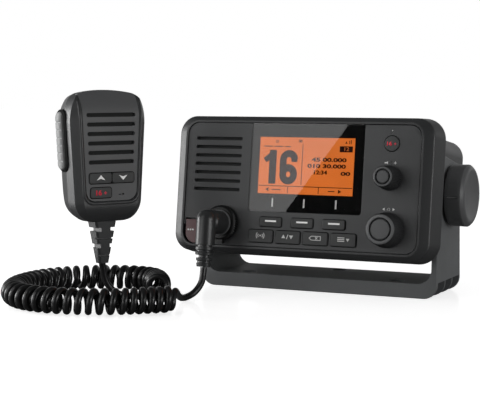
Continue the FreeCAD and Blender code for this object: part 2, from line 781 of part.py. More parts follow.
def side_inserts():
    """Two brass bushes in the case that take the clamp studs."""
    made = new_body("side_inserts")
    ring = new_sketch(made, "YZ_Plane")
    circle(ring, size.face_ahead, -size.face_up, INSERT_RADIUS)
    circle(ring, size.face_ahead, -size.face_up, size.stud_radius + 0.05)
    pad(made, ring, (ARM_INNER - 0.6) * 2, both=True)
    gap = new_sketch(made, "YZ_Plane")
    circle(gap, size.face_ahead, -size.face_up, INSERT_RADIUS + 1)
    pocket(made, gap, INSERT_INNER * 2, both=True)
    return seat_on_face(made)


def mount_gasket():
    """Foam gasket round the case behind the bezel."""
    made = new_body("mount_gasket")
    ring = face_sketch(made, size.bezel_back)
    middled(ring, size.flange_width + 11, size.flange_height + 4.4, 9.5)
    middled(ring, size.flange_width + 0.2, size.flange_height + 0.2, CASE_CORNER + 0.1)
    slab(made, 2.0, ring)
    return seat_on_face(made)


def antenna_connector():
    """Coaxial antenna socket: flange, threaded barrel with its bore, and the pin that it holds."""
    made = new_body("antenna_connector")
    back = size.case_back + 2
    spin(made, [
        (0, back - 8), (6.0, back - 8), (6.0, back), (9.0, back), (9.0, back + 2.4), (7.9, back + 2.4),
        (7.9, back + 17), (5.6, back + 17), (5.6, back + 6), (2.2, back + 6), (2.2, back + 14),
        (0, back + 14), (0, back - 8),
    ])
    return seat_on_face(made, CONNECTOR_X, CONNECTOR_Z)


def power_gland():
    """Ribbed rubber gland of the power lead's outlet."""
    made = new_body("power_gland")
    back = size.case_back + 2
    spin(made, [
        (1.8, back - 6), (5.0, back - 6), (5.0, back), (7.0, back), (7.0, back + 2), (5.4, back + 2.6),
        (5.2, back + 5), (4.2, back + 5), (4.0, back + 6.6), (4.9, back + 6.6), (4.6, back + 9.6),
        (1.8, back + 9.6), (1.8, back - 6),
    ])
    return seat_on_face(made, GLAND_X, GLAND_Z)


def case_screws():
    """Four screws through the back of the case."""
    made = new_body("case_screws")
    back = size.case_back
    shanks = face_sketch(made, back - 9)
    heads = face_sketch(made, back)
    sockets = face_sketch(made, back + 2.2)
    for x, z in SCREW_SPOTS:
        circle(shanks, x, z, 1.5)
        circle(heads, x, z, 3.0)
        circle(sockets, x, z, 1.3)
    slab(made, 9, shanks)
    slab(made, 2.2, heads)
    pocket(made, sockets, 1.2, back=True)
    return seat_on_face(made)


# ---------------------------------------------------------------- controls on the face

def face_key(label, x, z, width, height, flange_height, shift):
    """Moulded key: cap through the panel, a neck, a flange behind the panel and a stem to the board."""
    made = new_body(label)
    low, high = shift - flange_height / 2, shift + flange_height / 2
    cap = face_sketch(made, -KEY_PROUD)
    middled(cap, width, height, 1.1)
    slab(made, KEY_PROUD + 4.2, cap)
    neck = face_sketch(made, 4.2)
    rounded(neck, width * -0.42, width * 0.42, low, high, 0.6)
    slab(made, 2.1, neck)
    flange = face_sketch(made, size.panel_back + 0.4)
    rounded(flange, width / -2 - 0.6, width / 2 + 0.6, low, high, 0.6)
    slab(made, 0.9, flange)
    stem = face_sketch(made, 6)
    circle(stem, 0, shift, 1.5)
    slab(made, size.board_front - STEM_GAP - 6, stem)
    dress(made, "Fillet", 0.5, flat_at("Y", -KEY_PROUD))
    return seat_on_face(made, x, z)


KEY_PROUD = 1.1
STEM_GAP = 0.9


def round_key(label, x, z, radius, front, flange_radius):
    """Round key with a flange behind the panel and a stem to the board."""
    made = new_body(label)
    back = size.panel_back + 0.4
    spin(made, [
        (0, front), (radius - 0.5, front), ((radius, front + 0.5), 0.5, 1), (radius, back),
        (flange_radius, back), (flange_radius, back + 0.9), (1.5, back + 0.9),
        (1.5, size.board_front - STEM_GAP), (0, size.board_front - STEM_GAP), (0, front),
    ])
    return seat_on_face(made, x, z)


KNOB_LIFT = 1.1


def knob(label, z, reach, base_radius, front_radius):
    """Tapered hand knob with a ring groove round its centre and a bore for the shaft."""
    made = new_body(label)
    front = -reach
    cap = front_radius * 0.66
    spin(made, [
        (size.shaft_radius + 0.01, -KNOB_LIFT), (base_radius - 0.4, -KNOB_LIFT),
        ((base_radius, -KNOB_LIFT - 0.4), 0.4, -1),
        (front_radius + 0.7, front + 1.2), ((front_radius - 0.5, front), 1.3, -1),
        (cap + 0.9, front), (cap + 0.7, front + 1.8), (cap + 0.02, front + 1.8), (cap + 0.02, front + 4.0),
        (size.shaft_radius + 0.01, front + 4.0), (size.shaft_radius + 0.01, -KNOB_LIFT),
    ])
    return seat_on_face(made, size.knob_x, z)


def knob_cap(label, z, reach, front_radius):
    """Centre cap pressed into a knob's face."""
    made = new_body(label)
    front = -reach + 0.25
    cap = front_radius * 0.66
    spin(made, [
        (0, front), (cap - 0.6, front), ((cap, front + 0.6), 0.6, 1), (cap, front + 3.7),
        (0, front + 3.7), (0, front),
    ])
    return seat_on_face(made, size.knob_x, z)


def knob_shaft(label, z, reach):
    """Shaft of a rotary control, from inside the knob to the sensor behind the panel."""
    made = new_body(label)
    spin(made, [
        (0, -reach + 4.05), (size.shaft_radius, -reach + 4.05), (size.shaft_radius, 9.3), (0, 9.3),
        (0, -reach + 4.05),
    ])
    return seat_on_face(made, size.knob_x, z)


def plunger(label, z):
    """Push disc behind a rotary shaft, which closes the press switch."""
    made = new_body(label)
    spin(made, [(0, 9.6), (2.6, 9.6), (2.6, 10.6), (0, 10.6), (0, 9.6)])
    return seat_on_face(made, size.knob_x, z)


def encoders():
    """Two rotary sensors on the board, bored for their shafts."""
    made = new_body("rotary_encoders")
    blocks = face_sketch(made, size.panel_back + 0.2)
    bores = face_sketch(made, 0)
    for z in (size.volume_z, size.select_z):
        rounded(blocks, size.knob_x - 6.2, size.knob_x + 6.2, z - 6.2, z + 6.2, 0.8)
        circle(bores, size.knob_x, z, size.shaft_radius + 0.06)
    slab(made, size.board_front - size.panel_back - 0.2, blocks)
    pocket(made, bores, size.board_front - 0.3)
    return seat_on_face(made)


# ---------------------------------------------------------------- microphone socket and plug

def mic_socket():
    """Round socket in the face: a threaded barrel with a bore and its contact block."""
    made = new_body("mic_socket")
    spin(made, [
        (0, 4.0), (4.9, 4.0), (4.9, -0.3), (8.6, -0.3), (8.6, size.board_front),
        (0, size.board_front), (0, 4.0),
    ])
    return seat_on_face(made, size.socket_x, size.socket_z)


def plug_ring():
    """Locking ring of the plug: twelve grip hollows and one thumb lobe."""
    made = new_body("plug_ring")
    radius = size.ring_radius
    spin(made, [
        (size.collar_radius + 0.05, -5.4), (radius - 1.4, -5.4), (radius, -4.2), (radius, -0.8),
        (size.collar_radius + 0.05, -0.8), (size.collar_radius + 0.05, -5.4),
    ])
    lobe = face_sketch(made, -4.6)
    outline(lobe, (-2.6, -9.6), ((2.6, -9.6), 12.5, 1), (2.0, -12.6), (-2.0, -12.6), (-2.6, -9.6))
    slab(made, 3.4, lobe)
    hollow = face_sketch(made, -7)
    circle(hollow, radius + 0.9, 0, 1.7)
    first = pocket(made, hollow, 6.0)
    ring = made.newObject("PartDesign::PolarPattern", "plug_ring_grip")
    ring.Originals = [first]
    ring.Axis = (origin_plane(made, "Y_Axis"), [""])
    ring.Angle = 360
    ring.Occurrences = 14
    made.Tip = ring
    return seat_on_face(made, size.socket_x, size.socket_z)


def plug_body():
    """Right-angled plug: a level barrel from the socket into an upright one with a domed top."""
    made = new_body("plug_body")
    collar, reach = size.collar_radius, size.plug_reach
    spin(made, [
        (0, 3.6), (4.8, 3.6), (4.8, -0.7), (collar, -0.7), (collar, 3.0 - reach),
        ((collar - 3.0, -reach), 3.0, -1), (0, -reach), (0, 3.6),
    ])
    upright = new_sketch(made, "YZ_Plane")
    side = size.plug_radius - reach
    outline(
        upright, (-reach, UPRIGHT_FOOT), (side, UPRIGHT_FOOT), (side, 1.0),
        ((-reach, size.plug_radius + 1.0), size.plug_radius, 1), (-reach, UPRIGHT_FOOT),
    )
    ends = Vector(-float(reach), -20, 0), Vector(-float(reach), 20, 0)
    middle = upright.addGeometry(Part.LineSegment(*ends), True)
    fix_point(upright, middle, 1, (-reach, -20))
    fix_point(upright, middle, 2, (-reach, 20))
    revolve(made, upright, "Axis0")
    return seat_on_face(made, size.socket_x, size.socket_z)


UPRIGHT_FOOT = -14.1


def plug_boot():
    """Flexible cord grip under the plug: alternating collars and necks round the cord."""
    made = new_body("plug_boot")
    spin(made, [
        (0, -14.1), (4.3, -14.1), (4.3, -15.3), (5.6, -15.3), (5.6, -17.0), (4.7, -17.3), (4.7, -18.1),
        (5.6, -18.4), (5.4, -20.0), (3.4, -20.2), (3.4, -21.6), (4.9, -21.8), (4.7, -23.4), (4.0, -23.7),
        (4.0, -24.6), (4.6, -24.9), (4.3, -27.1), (0, -27.1), (0, -14.1),
    ], role="XZ_Plane")
    return seat_on_face(made, size.socket_x, size.socket_z, size.plug_reach)


# ---------------------------------------------------------------- microphone

MIC_FOOT, MIC_SIDE, MIC_SHOULDER, MIC_CORNER, MIC_CROWN = (
    (9.2, 0.0), (22.18, 12.23), (24.8, -19.5), (22.29, -6.14), (16.58, -1.63)
)
FOOT_ARC, SHOULDER_ARC, CORNER_ARC, CROWN_ARC = 13.0, 28.0, 8.0, 85.0
PANEL_FLOOR = 2.0
FALL_START = 84.0
REAR_DRAFT = -13.0


def mic_outline():
    """The microphone seen from the front: widest near the top, with round shoulders and a crown."""
    low = [(x, size.mic_bottom + z) for x, z in (MIC_FOOT, MIC_SIDE)]
    high = [(x, size.mic_top + z) for x, z in (MIC_SHOULDER, MIC_CORNER, MIC_CROWN)]
    foot, side, shoulder, corner, crown = low + high
    other = [(-x, z) for x, z in (foot, side, shoulder, corner, crown)]
    return [
        other[0], foot, (side, FOOT_ARC, 1), shoulder, (corner, SHOULDER_ARC, 1), (crown, CORNER_ARC, 1),
        (other[4], CROWN_ARC, 1), (other[3], CORNER_ARC, 1), (other[2], SHOULDER_ARC, 1), other[1],
        (other[0], FOOT_ARC, 1),
    ]


def fall_radius(back, rise):
    """Radius of an arc that leaves a straight face smoothly and falls back over a rise."""
    return (back ** 2 + float(rise) ** 2) / (2 * back)


def front_curve_top():
    """Where the face has fallen back at the crown, and the radius of its fall."""
    back = 8.5
    return (back - size.mic_front, size.mic_top), fall_radius(back, size.mic_top - FALL_START)


def mic_front_shell():
    """Front half: bevelled edges, a face falling back at the top and a seat for the inset panel."""
    made = new_body("mic_front_shell")
    pad(made, outline(new_sketch(made), *mic_outline()), size.mic_front)
    front = -size.mic_front
    dress(made, "Chamfer", 3.8, flat_at("Y", front))
    crown, fall = front_curve_top()
    bottom = size.mic_bottom
    trim(
        made, "YZ_Plane", (1, 20), (1, 110), (crown[0], 110), crown, ((front, FALL_START), fall, 1),
        (front, bottom + 10.5), ((front + 5.0, bottom), 13.5, 1), (front + 5.0, 20), (1, 20),
    )
    hollow = new_sketch(made)
    rounded(hollow, -16.0, 16.0, 37.4, 88.0, 3.0)
    pocket(made, hollow, 7.5, back=True)
    mic_side_seat(made)
    mic_screw_bores(made, -5.2)
    boot_socket(made)
    mic_openings(made)
    cut_with(made, panel_solid("mic_panel_seat", 0.35))
    return seat_on_mic(made)


def cut_with(made, tool):
    """Takes another body's solid away from this one."""
    doc.recompute()
    before = made.Shape.Volume
    cut = made.newObject("PartDesign::Boolean", f"{made.Label}_seat")
    cut.Type = "Cut"
    cut.Group = [tool]
    doc.recompute()
    if not made.Shape.Volume < before - 0.001:
        raise RuntimeError(f"nothing is cut from {made.Label}")
    return cut


PANEL_LOW = 37.0


def panel_solid(label, gap):
    """The inset panel, or with a gap the seat that it lies in: it follows the face over the crown."""
    made = new_body(label)
    low = PANEL_LOW - gap
    wide, narrow = 18.9 + gap, 16.8 + gap
    sketch = new_sketch(made)
    outline(
        sketch, (5.0 - narrow, low), (narrow - 5.0, low), ((narrow, low + 5.0), 5.0, 1), (wide, 86.0),
        (wide, 110.0), (-wide, 110.0), (-wide, 86.0), (-narrow, low + 5.0), ((5.0 - narrow, low), 5.0, 1),
    )
    pad(made, sketch, size.mic_front)
    front = -size.mic_front
    crown, fall = front_curve_top()
    deep = fall - PANEL_FLOOR
    drop = 8.3
    inner = (front + PANEL_FLOOR + drop, FALL_START + math.sqrt(deep ** 2 - (deep - drop) ** 2))
    trim(
        made, "YZ_Plane", (front, 20), (front + PANEL_FLOOR, 20), (front + PANEL_FLOOR, FALL_START),
        (inner, deep, -1), (inner[0], 112), (crown[0], 112), crown,
        ((front, FALL_START), fall, 1), (front, 20),
    )
    if gap == 0:
        trim(made, "XZ_Plane", *mic_outline())
    return made


def mic_panel():
    """Inset panel of the microphone, with the speaker slots and the openings for its keys."""
    made = panel_solid("mic_panel", 0)
    mic_openings(made)
    return seat_on_mic(made)


MIC_SLOT_TOP, MIC_SLOT_PITCH, MIC_SLOT_COUNT = 86.3, 5.38, 6
MIC_KEYS = {
    "mic_up_key": (-14.9, -0.15, 47.2, 53.2),
    "mic_down_key": (0.15, 14.9, 47.2, 53.2),
    "mic_channel_key": (-14.2, -0.3, 38.9, 44.9),
}
MIC_KEY_GAP = 0.3


def mic_openings(made):
    """Speaker slots, key openings and the hole that is spoken into."""
    holes = new_sketch(made, "XZ_Plane", 3.0)
    for index in range(MIC_SLOT_COUNT):
        z = MIC_SLOT_TOP - MIC_SLOT_PITCH * index
        half = 16.2 - 0.24 * index
        rounded(holes, -half, half, z - 1.15, z + 1.15, 1.1)
    left, _, bottom, top = MIC_KEYS["mic_up_key"]
    rounded(holes, left - MIC_KEY_GAP, MIC_KEY_GAP - left, bottom - MIC_KEY_GAP, top + MIC_KEY_GAP, 1.8)
    left, right, bottom, top = MIC_KEYS["mic_channel_key"]
    rounded(holes, left - MIC_KEY_GAP, right + MIC_KEY_GAP, bottom - MIC_KEY_GAP, top + MIC_KEY_GAP, 1.8)
    circle(holes, 7.6, 40.6, 0.6)
    return pocket(made, holes, 15, back=True)


def mic_key(label):
    """Key of the microphone: cap in the panel, flange behind the shell and a stem to its board."""
    left, right, bottom, top = MIC_KEYS[label]
    made = new_body(label)
    front = -size.mic_front - 0.5
    cap = new_sketch(made, "XZ_Plane", -front)
    rounded(cap, left, right, bottom, top, 1.4)
    pad(made, cap, 4.9, back=True)
    flange = new_sketch(made, "XZ_Plane", 7.2)
    rounded(flange, left, right, bottom - 1.0, top, 1.0)
    pad(made, flange, 0.9, back=True)
    stem = new_sketch(made, "XZ_Plane", 6.6)
    circle(stem, (left + right) / 2, (bottom + top) / 2, 1.5)
    pad(made, stem, 1.6, back=True)
    dress(made, "Fillet", 0.4, flat_at("Y", front))
    return seat_on_mic(made)


SEAT_FRONT, SEAT_BACK, SEAT_LOW, SEAT_HIGH = -3.5, 7.5, 53.6, 89.6


def side_outline(sketch, inset, corner):
    """Outline of the push-to-talk seat on the microphone's side."""
    return rounded(sketch, SEAT_FRONT + inset, SEAT_BACK - inset, SEAT_LOW + inset, SEAT_HIGH - inset,
                   corner - inset)


def mic_side_seat(made):
    """Stepped pocket in the microphone's side for the push-to-talk bar and its surround."""
    outer = new_sketch(made, "YZ_Plane", -22.0)
    side_outline(outer, 0, 5.2)
    pocket(made, outer, 10)
    inner = new_sketch(made, "YZ_Plane", -17.5)
    side_outline(inner, 1.0, 5.2)
    return pocket(made, inner, 10)


MIC_SCREWS = [(-13.5, 33.6), (13.5, 33.6), (-14.0, 93.0), (14.0, 93.0)]


def mic_screw_bores(made, depth):
    """Bores for the four screws that close the microphone."""
    bores = new_sketch(made, "XZ_Plane", -depth)
    for x, z in MIC_SCREWS:
        circle(bores, x, z, 1.32)
    return pocket(made, bores, 30, back=depth > 0)


def boot_socket(made):
    """Square socket in the foot that holds the neck of the cord grip."""
    socket = new_sketch(made, "XY_Plane", size.mic_bottom - 2)
    rounded(socket, -4.1, 4.1, -3.6, 3.6, 1.0)
    return pocket(made, socket, 7.8, back=True)


def mic_rear_shell():
    """Back half of the microphone, rounded to fit the hand."""
    made = new_body("mic_rear_shell")
    shape = pad(made, outline(new_sketch(made), *mic_outline()), size.mic_rear, back=True)
    shape.TaperAngle = REAR_DRAFT
    rear, bottom, top = size.mic_rear, size.mic_bottom, size.mic_top
    back, low, high = 9.0, bottom + 20.0, dim(80.0)
    trim(
        made, "YZ_Plane", (-1, 20), (rear - back, 20), (rear - back, bottom),
        ((rear, low), fall_radius(back, low - bottom), 1), (rear, high),
        ((rear - back, top), fall_radius(back, top - high), 1), (rear - back, 110), (-1, 110), (-1, 20),
    )
    dress(made, "Fillet", 5.0, lambda edge: edge.BoundBox.ZLength > 30
          and abs(edge.BoundBox.YMin - float(rear)) < 0.01)
    hollow = new_sketch(made)
    rounded(hollow, -12.0, 12.0, 38.0, 88.0, 3.0)
    pocket(made, hollow, 9.5)
    mic_side_seat(made)
    screw_seats = new_sketch(made, "XZ_Plane", -5.0)
    for x, z in MIC_SCREWS:
        circle(screw_seats, x, z, 2.6)
    pocket(made, screw_seats, 20)
    mic_screw_bores(made, -10)
    boot_socket(made)
    hanger = new_sketch(made, "XZ_Plane", -8.0)
    circle(hanger, 0, HANGER_Z, 3.5)
    pocket(made, hanger, 10)
    return seat_on_mic(made)


HANGER_Z = 70.0


def mic_hanger_stud():
    """Headed stud on the microphone's back that drops into its holder."""
    made = new_body("mic_hanger_stud")
    rear = size.mic_rear
    spin(made, [
        (0, rear - 2.9), (3.5, rear - 2.9), (3.5, rear + 2.6), (6.4, rear + 2.6),
        ((7.0, rear + 3.2), 0.6, 1), (7.0, rear + 4.2), ((5.6, rear + 5.6), 1.5, 1), (0, rear + 5.6),
        (0, rear - 2.9),
    ])
    return seat_on_mic(made, HANGER_Z)


def ptt_surround():
    """Soft surround of the push-to-talk bar: a sloping skirt with a slot for the bar."""
    made = new_body("ptt_surround")
    base = new_sketch(made, "YZ_Plane", -22.1)
    side_outline(base, 0.15, 5.2)
    pad(made, base, 4.4, back=True)
    trim(
        made, "XZ_Plane", (-21, 50), (-21, 95), (-26.5, 95), (-26.3, 84.0), (-24.9, 56.0), (-24.6, 50),
        (-21, 50),
    )
    dress(made, "Chamfer", 1.1, lambda edge: edge.BoundBox.XMax < -24.4)
    slot = new_sketch(made, "YZ_Plane", -15)
    rounded(slot, BAR_FRONT - 0.3, BAR_BACK + 0.3, BAR_LOW - 0.3, BAR_HIGH + 0.3, 2.8)
    pocket(made, slot, 20)
    return seat_on_mic(made)


BAR_FRONT, BAR_BACK, BAR_LOW, BAR_HIGH = -0.9, 5.1, 55.2, 88.0
BAR_CREST, BAR_SLOPE = -27.9, 0.054
GRIP_GROOVES = (82.2, 77.7, 73.2, 68.9, 64.6, 60.0)
GROOVE_DEPTH = 0.8


def ptt_bar():
    """Push-to-talk bar with a round crest and six grip grooves."""
    made = new_body("ptt_bar")
    base = new_sketch(made, "YZ_Plane", -21.5)
    rounded(base, BAR_FRONT, BAR_BACK, BAR_LOW, BAR_HIGH, 2.5)
    pad(made, base, 6.9, back=True)
    flange = new_sketch(made, "YZ_Plane", -21.0)
    side_outline(flange, 1.3, 5.2)
    pad(made, flange, 1.0, back=True)
    trim(
        made, "XZ_Plane", (-20, 50), (-20, 95), (-26.8, 95), (-26.8, 88.2), ((BAR_CREST, 84.0), 8.0, 1),
        (-26.5, 58.0), ((-25.2, 55.0), 6.0, 1), (-25.2, 50), (-20, 50),
    )
    dress(made, "Fillet", 1.6, lambda edge: edge.BoundBox.XMax < -24.9 and edge.BoundBox.ZLength > 15)
    grooves = new_sketch(made)
    for z in GRIP_GROOVES:
        crest = BAR_CREST + (84.0 - z) * BAR_SLOPE
        outline(
            grooves, (-30, z - 0.5), (crest + GROOVE_DEPTH, z - 0.5), (crest + GROOVE_DEPTH, z + 0.5),
            (-30, z + 0.5), (-30, z - 0.5),
        )
    pocket(made, grooves, 40, both=True)
    return seat_on_mic(made)


def mic_boot():
    """Moulded cord grip: a tapering block slit from both sides so that it bends."""
    made = new_body("mic_boot")
    foot = new_sketch(made, "XY_Plane")
    middled(foot, 6.4, 5.4, 1.6)
    head = new_sketch(made, "XY_Plane", size.mic_bottom)
    middled(head, 14.2, 10.4, 1.6)
    loft = made.newObject("PartDesign::AdditiveLoft", "mic_boot_loft")
    loft.Profile = foot
    loft.Sections = [head]
    loft.Ruled = True
    neck = new_sketch(made, "XY_Plane", size.mic_bottom - 0.5)
    middled(neck, 8.0, 7.0, 0.9)
    pad(made, neck, 6.0)
    slits = new_sketch(made, "XZ_Plane")
    for low, high in ((9.1, 11.4), (18.7, 21.0)):
        for side in (-1, 1):
            outline(slits, (3.0 * side, low), (12 * side, low), (12 * side, high), (3.0 * side, high),
                    (3.0 * side, low))
    pocket(made, slits, 40, both=True)
    ribs = new_sketch(made, "XZ_Plane", 1.5)
    for middle in (4.6, 14.6):
        outline(ribs, (-12, middle - 0.5), (12, middle - 0.5), (12, middle + 0.5), (-12, middle + 0.5),
                (-12, middle - 0.5))
    pocket(made, ribs, 10, back=True)
    bore = new_sketch(made, "XY_Plane", -1)
    circle(bore, 0, 0, size.cord / 2 + 0.02)
    pocket(made, bore, 3.0, back=True)
    return seat_on_mic(made)


def mic_speaker():
    """Loudspeaker of the microphone."""
    made = new_body("mic_speaker")
    spin(made, [
        (0, -6.4), (9.0, -7.0), (13.0, -7.4), (14.2, -7.4), (14.2, -6.2), (12.6, -6.0), (8.0, -3.0),
        (8.0, 2.0), (0, 2.0), (0, -6.4),
    ])
    return seat_on_mic(made, 72.6)


def mic_board():
    """Circuit board behind the microphone's keys."""
    made = new_body("mic_board")
    board = new_sketch(made, "XZ_Plane", 4.3)
    rounded(board, -15.0, 15.0, 39.0, 57.0, 1.0)
    pad(made, board, 1.2, back=True)
    return seat_on_mic(made)


def mic_screws():
    """Four screws that close the microphone from the back."""
    made = new_body("mic_screws")
    shanks = new_sketch(made, "XZ_Plane", 4.9)
    heads = new_sketch(made, "XZ_Plane", -5.0)
    drives = new_sketch(made, "XZ_Plane", -6.7)
    for x, z in MIC_SCREWS:
        circle(shanks, x, z, 1.3)
        circle(heads, x, z, 2.4)
        circle(drives, x, z, 1.0)
    pad(made, shanks, 9.9, back=True)
    pad(made, heads, 1.7, back=True)
    pocket(made, drives, 1.0, back=True)
    return seat_on_mic(made)


# ---------------------------------------------------------------- the cord

LEAD_ROUTE = [
    (-48.56, -79.1, 19.05), (-48.6, -79.8, 14.1), (-49.4, -80.6, 9.2), (-52.0, -84.0, 4.2),
    (-54.4, -89.0, 2.15), (-54.6, -95.0, 2.3), (-53.0, -101.0, 3.8), (-50.0, -109.0, 6.3),
    (-46.2, -117.5, 9.0), (-42.9, -125.0, 11.3), (-40.3, -130.8, 11.9), (-40.2, -133.6, 8.05),
]
COIL_HEIGHT = 8.05
COIL_ROUTE = [
    (-40.2, -133.6), (-50.4, -144.2), (-60.5, -153.5), (-76.0, -162.0), (-96.5, -167.6), (-117.5, -164.5),
    (-133.5, -153.5), (-143.2, -136.0), (-146.7, -115.0), (-144.3, -97.0), (-137.0, -83.0),
    (-124.5, -72.5), (-108.0, -65.5), (-92.0, -66.5), (-79.8, -76.5), (-71.7, -93.0),
]
MIC_ROUTE = [
    (-71.7, -93.0, 2.3), (-77.5, -97.8, 2.15), (-84.9, -102.1, 2.3), (-90.2, -108.0, 4.0),
    (-93.7, -112.7, 8.6), (-95.6, -115.6, 15.0), (-95.5, -117.2, 23.45),
]


def cord_path(points):
    """Straight runs joined by tangent arcs, each as large as its two runs allow."""
    spots = [Vector(*point) for point in points]
    edges, here, radii = [], spots[0], []
    for before, corner, after in zip(spots, spots[1:], spots[2:]):
        arriving, leaving = (corner - before).normalize(), (after - corner).normalize()
        half_turn = arriving.getAngle(leaving) / 2
        reach = 0.45 * min((corner - before).Length, (after - corner).Length)
        radius = reach / math.tan(half_turn)
        start, end = corner - arriving * reach, corner + leaving * reach
        inward = (leaving - arriving).normalize()
        middle = corner + inward * (radius / math.cos(half_turn) - radius)
        edges += [Part.LineSegment(here, start).toShape(), Part.Arc(start, middle, end).toShape()]
        here = end
        radii.append(radius)
    edges.append(Part.LineSegment(here, spots[-1]).toShape())
    return Part.Wire(edges), radii


def cord_tube(label, points, diameter):
    """A plain tube along a route; its volume is compared with its section times its length."""
    path, radii = cord_path(points)
    first = path.Edges[0]
    section = Part.Circle(first.Vertexes[0].Point, first.tangentAt(first.FirstParameter), float(diameter) / 2)
    tube = path.makePipeShell([Part.Wire(section.toShape())], True, False)
    due = math.pi * float(diameter) ** 2 / 4 * path.Length
    if abs(tube.Volume / due - 1) > 0.01:
        raise RuntimeError(f"{label} doesn't have its section's volume")
    if tube.optimalBoundingBox(False).ZMin < -0.001:
        raise RuntimeError(f"{label} reaches below the surface")
    print(f"{label}: {path.Length:.1f} mm long, tightest radius {min(radii):.1f} mm")
    made = doc.addObject("Part::Feature", label)
    made.Label = label
    made.Shape = tube
    return made


def cords():
    coil = [(x, y, COIL_HEIGHT) for x, y in COIL_ROUTE]
    return [
        cord_tube("cord_lead", LEAD_ROUTE, size.cord), cord_tube("curly_cord", coil, size.coil),
        cord_tube("mic_lead", MIC_ROUTE, size.cord),
    ]


# ---------------------------------------------------------------- all of it

def build():
    parts = [mounting_bracket()]
    for side in ("right", "left"):
        parts += [clamp_washer(side), clamp_knob(side), clamp_stud(side)]
    parts += [front_bezel(), front_panel(), display_glass(), lcd_module(), circuit_board(), speaker()]
    parts += [rear_case(), side_inserts(), mount_gasket(), antenna_connector(), power_gland(), case_screws()]
    parts += [distress_door(), door_pin(), round_key("distress_key", DISTRESS_X, DISTRESS_Z, 3.2, 2.8, 3.8)]
    for label, x in zip(SOFT_KEYS, face_row(3, size.soft_pitch, SOFT_MIDDLE)):
        parts.append(face_key(label, x, SOFT_Z, size.soft_width, size.soft_height, 5.0, 0.0))
    for label, x in zip(FUNCTION_KEYS, face_row(4, size.function_pitch, FUNCTION_MIDDLE)):
        parts.append(face_key(label, x, FUNCTION_Z, size.function_width, size.function_height, 6.0, 0.7))
    parts.append(round_key("power_key", size.knob_x, size.power_z, 4.5, -0.7, 5.6))
    for name, z, reach, base, front in (
        ("volume", size.volume_z, size.volume_reach, 7.4, 5.65),
        ("select", size.select_z, size.select_reach, 10.5, 8.9),
    ):
        parts += [knob(f"{name}_knob", z, reach, base, front), knob_cap(f"{name}_cap", z, reach, front)]
        parts += [knob_shaft(f"{name}_shaft", z, reach), plunger(f"{name}_plunger", z)]
    parts += [encoders(), mic_socket(), plug_ring(), plug_body(), plug_boot()]
    parts += [mic_front_shell(), mic_rear_shell(), mic_panel(), mic_hanger_stud(), mic_boot()]
    parts += [mic_key(label) for label in MIC_KEYS]
    parts += [ptt_surround(), ptt_bar(), mic_speaker(), mic_board(), mic_screws()]
    return parts + cords()


def check(parts):
    doc.recompute()
    for thing in doc.Objects:
        if "Invalid" in thing.State or "Error" in thing.State:
            raise RuntimeError(f"{thing.Label} is {thing.State}")
    for part in parts:
        if part.Shape.isNull() or not part.Shape.isValid():
            raise RuntimeError(f"{part.Label} has no valid shape")
    print(len(parts), "parts")


parts = build()
check(parts)
os.makedirs("parts", exist_ok=True)
for part in parts:
    part.Shape.exportStep(os.path.join("parts", part.Label + ".step"))
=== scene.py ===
import math

import bpy
from bpy.props import FloatProperty, FloatVectorProperty, PointerProperty
from mathutils import Matrix, Vector


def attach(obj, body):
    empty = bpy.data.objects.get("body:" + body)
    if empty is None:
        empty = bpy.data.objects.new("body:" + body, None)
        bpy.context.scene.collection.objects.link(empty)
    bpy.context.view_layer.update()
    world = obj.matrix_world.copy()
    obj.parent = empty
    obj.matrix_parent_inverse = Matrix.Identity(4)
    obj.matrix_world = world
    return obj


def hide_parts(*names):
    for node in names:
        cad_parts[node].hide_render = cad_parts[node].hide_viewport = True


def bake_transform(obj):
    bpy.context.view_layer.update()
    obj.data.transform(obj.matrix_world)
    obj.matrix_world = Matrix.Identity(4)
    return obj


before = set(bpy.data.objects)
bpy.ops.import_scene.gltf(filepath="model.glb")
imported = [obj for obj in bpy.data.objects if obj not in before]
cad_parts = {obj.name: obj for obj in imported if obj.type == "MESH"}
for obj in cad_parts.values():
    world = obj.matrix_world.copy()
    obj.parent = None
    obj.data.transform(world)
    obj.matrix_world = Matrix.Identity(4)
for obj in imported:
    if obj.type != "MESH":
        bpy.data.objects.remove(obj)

bl_info = {
    "name": "Marine Radio Dressing",
    "version": (1, 0, 0),
    "blender": (4, 5, 0),
    "location": "View3D > Sidebar > Marine Radio",
    "description": "Dresses the marine radio, its bracket, its microphone and its curly cord",
    "category": "Object",
}

MM = 0.001
IN_MM = Matrix.Scale(MM, 4)
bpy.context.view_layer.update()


def linear(code):
    """An sRGB hex colour as the linear red, green and blue that a shader takes."""
    channels = [int(code[start:start + 2], 16) / 255 for start in (1, 3, 5)]
    return tuple(c / 12.92 if c <= 0.04045 else ((c + 0.055) / 1.055) ** 2.4 for c in channels)


# ---- where things sit

LEAN = math.radians(7.6)
PIVOT_HEIGHT, FACE_AHEAD, FACE_UP = 60.7 * MM, 50.4 * MM, -0.46 * MM
MIC_FOOT, MIC_YAW = Vector((-95.5, -117.2, 23.5)) * MM, math.radians(61.9)

# Face frame: x to the right, y into the case, z up the leaning face.
FACE = (Matrix.Translation((0, 0, PIVOT_HEIGHT)) @ Matrix.Rotation(-LEAN, 4, "X")
        @ Matrix.Translation((0, -FACE_AHEAD, FACE_UP)))
# Microphone frame: origin at the foot of its cord grip, y from its face to its back.
MIC = Matrix.Translation(MIC_FOOT) @ Matrix.Rotation(MIC_YAW, 4, "Z")
# A flat drawing, x right and y up, stood up so that its own +Z points at the operator.
STAND_UP = Matrix.Rotation(math.radians(90), 4, "X")


def on_face(out):
    """Matrix that lays a flat drawing in millimetres on the face, at a height ahead of it."""
    return FACE @ STAND_UP @ Matrix.Translation((0, 0, out * MM)) @ IN_MM


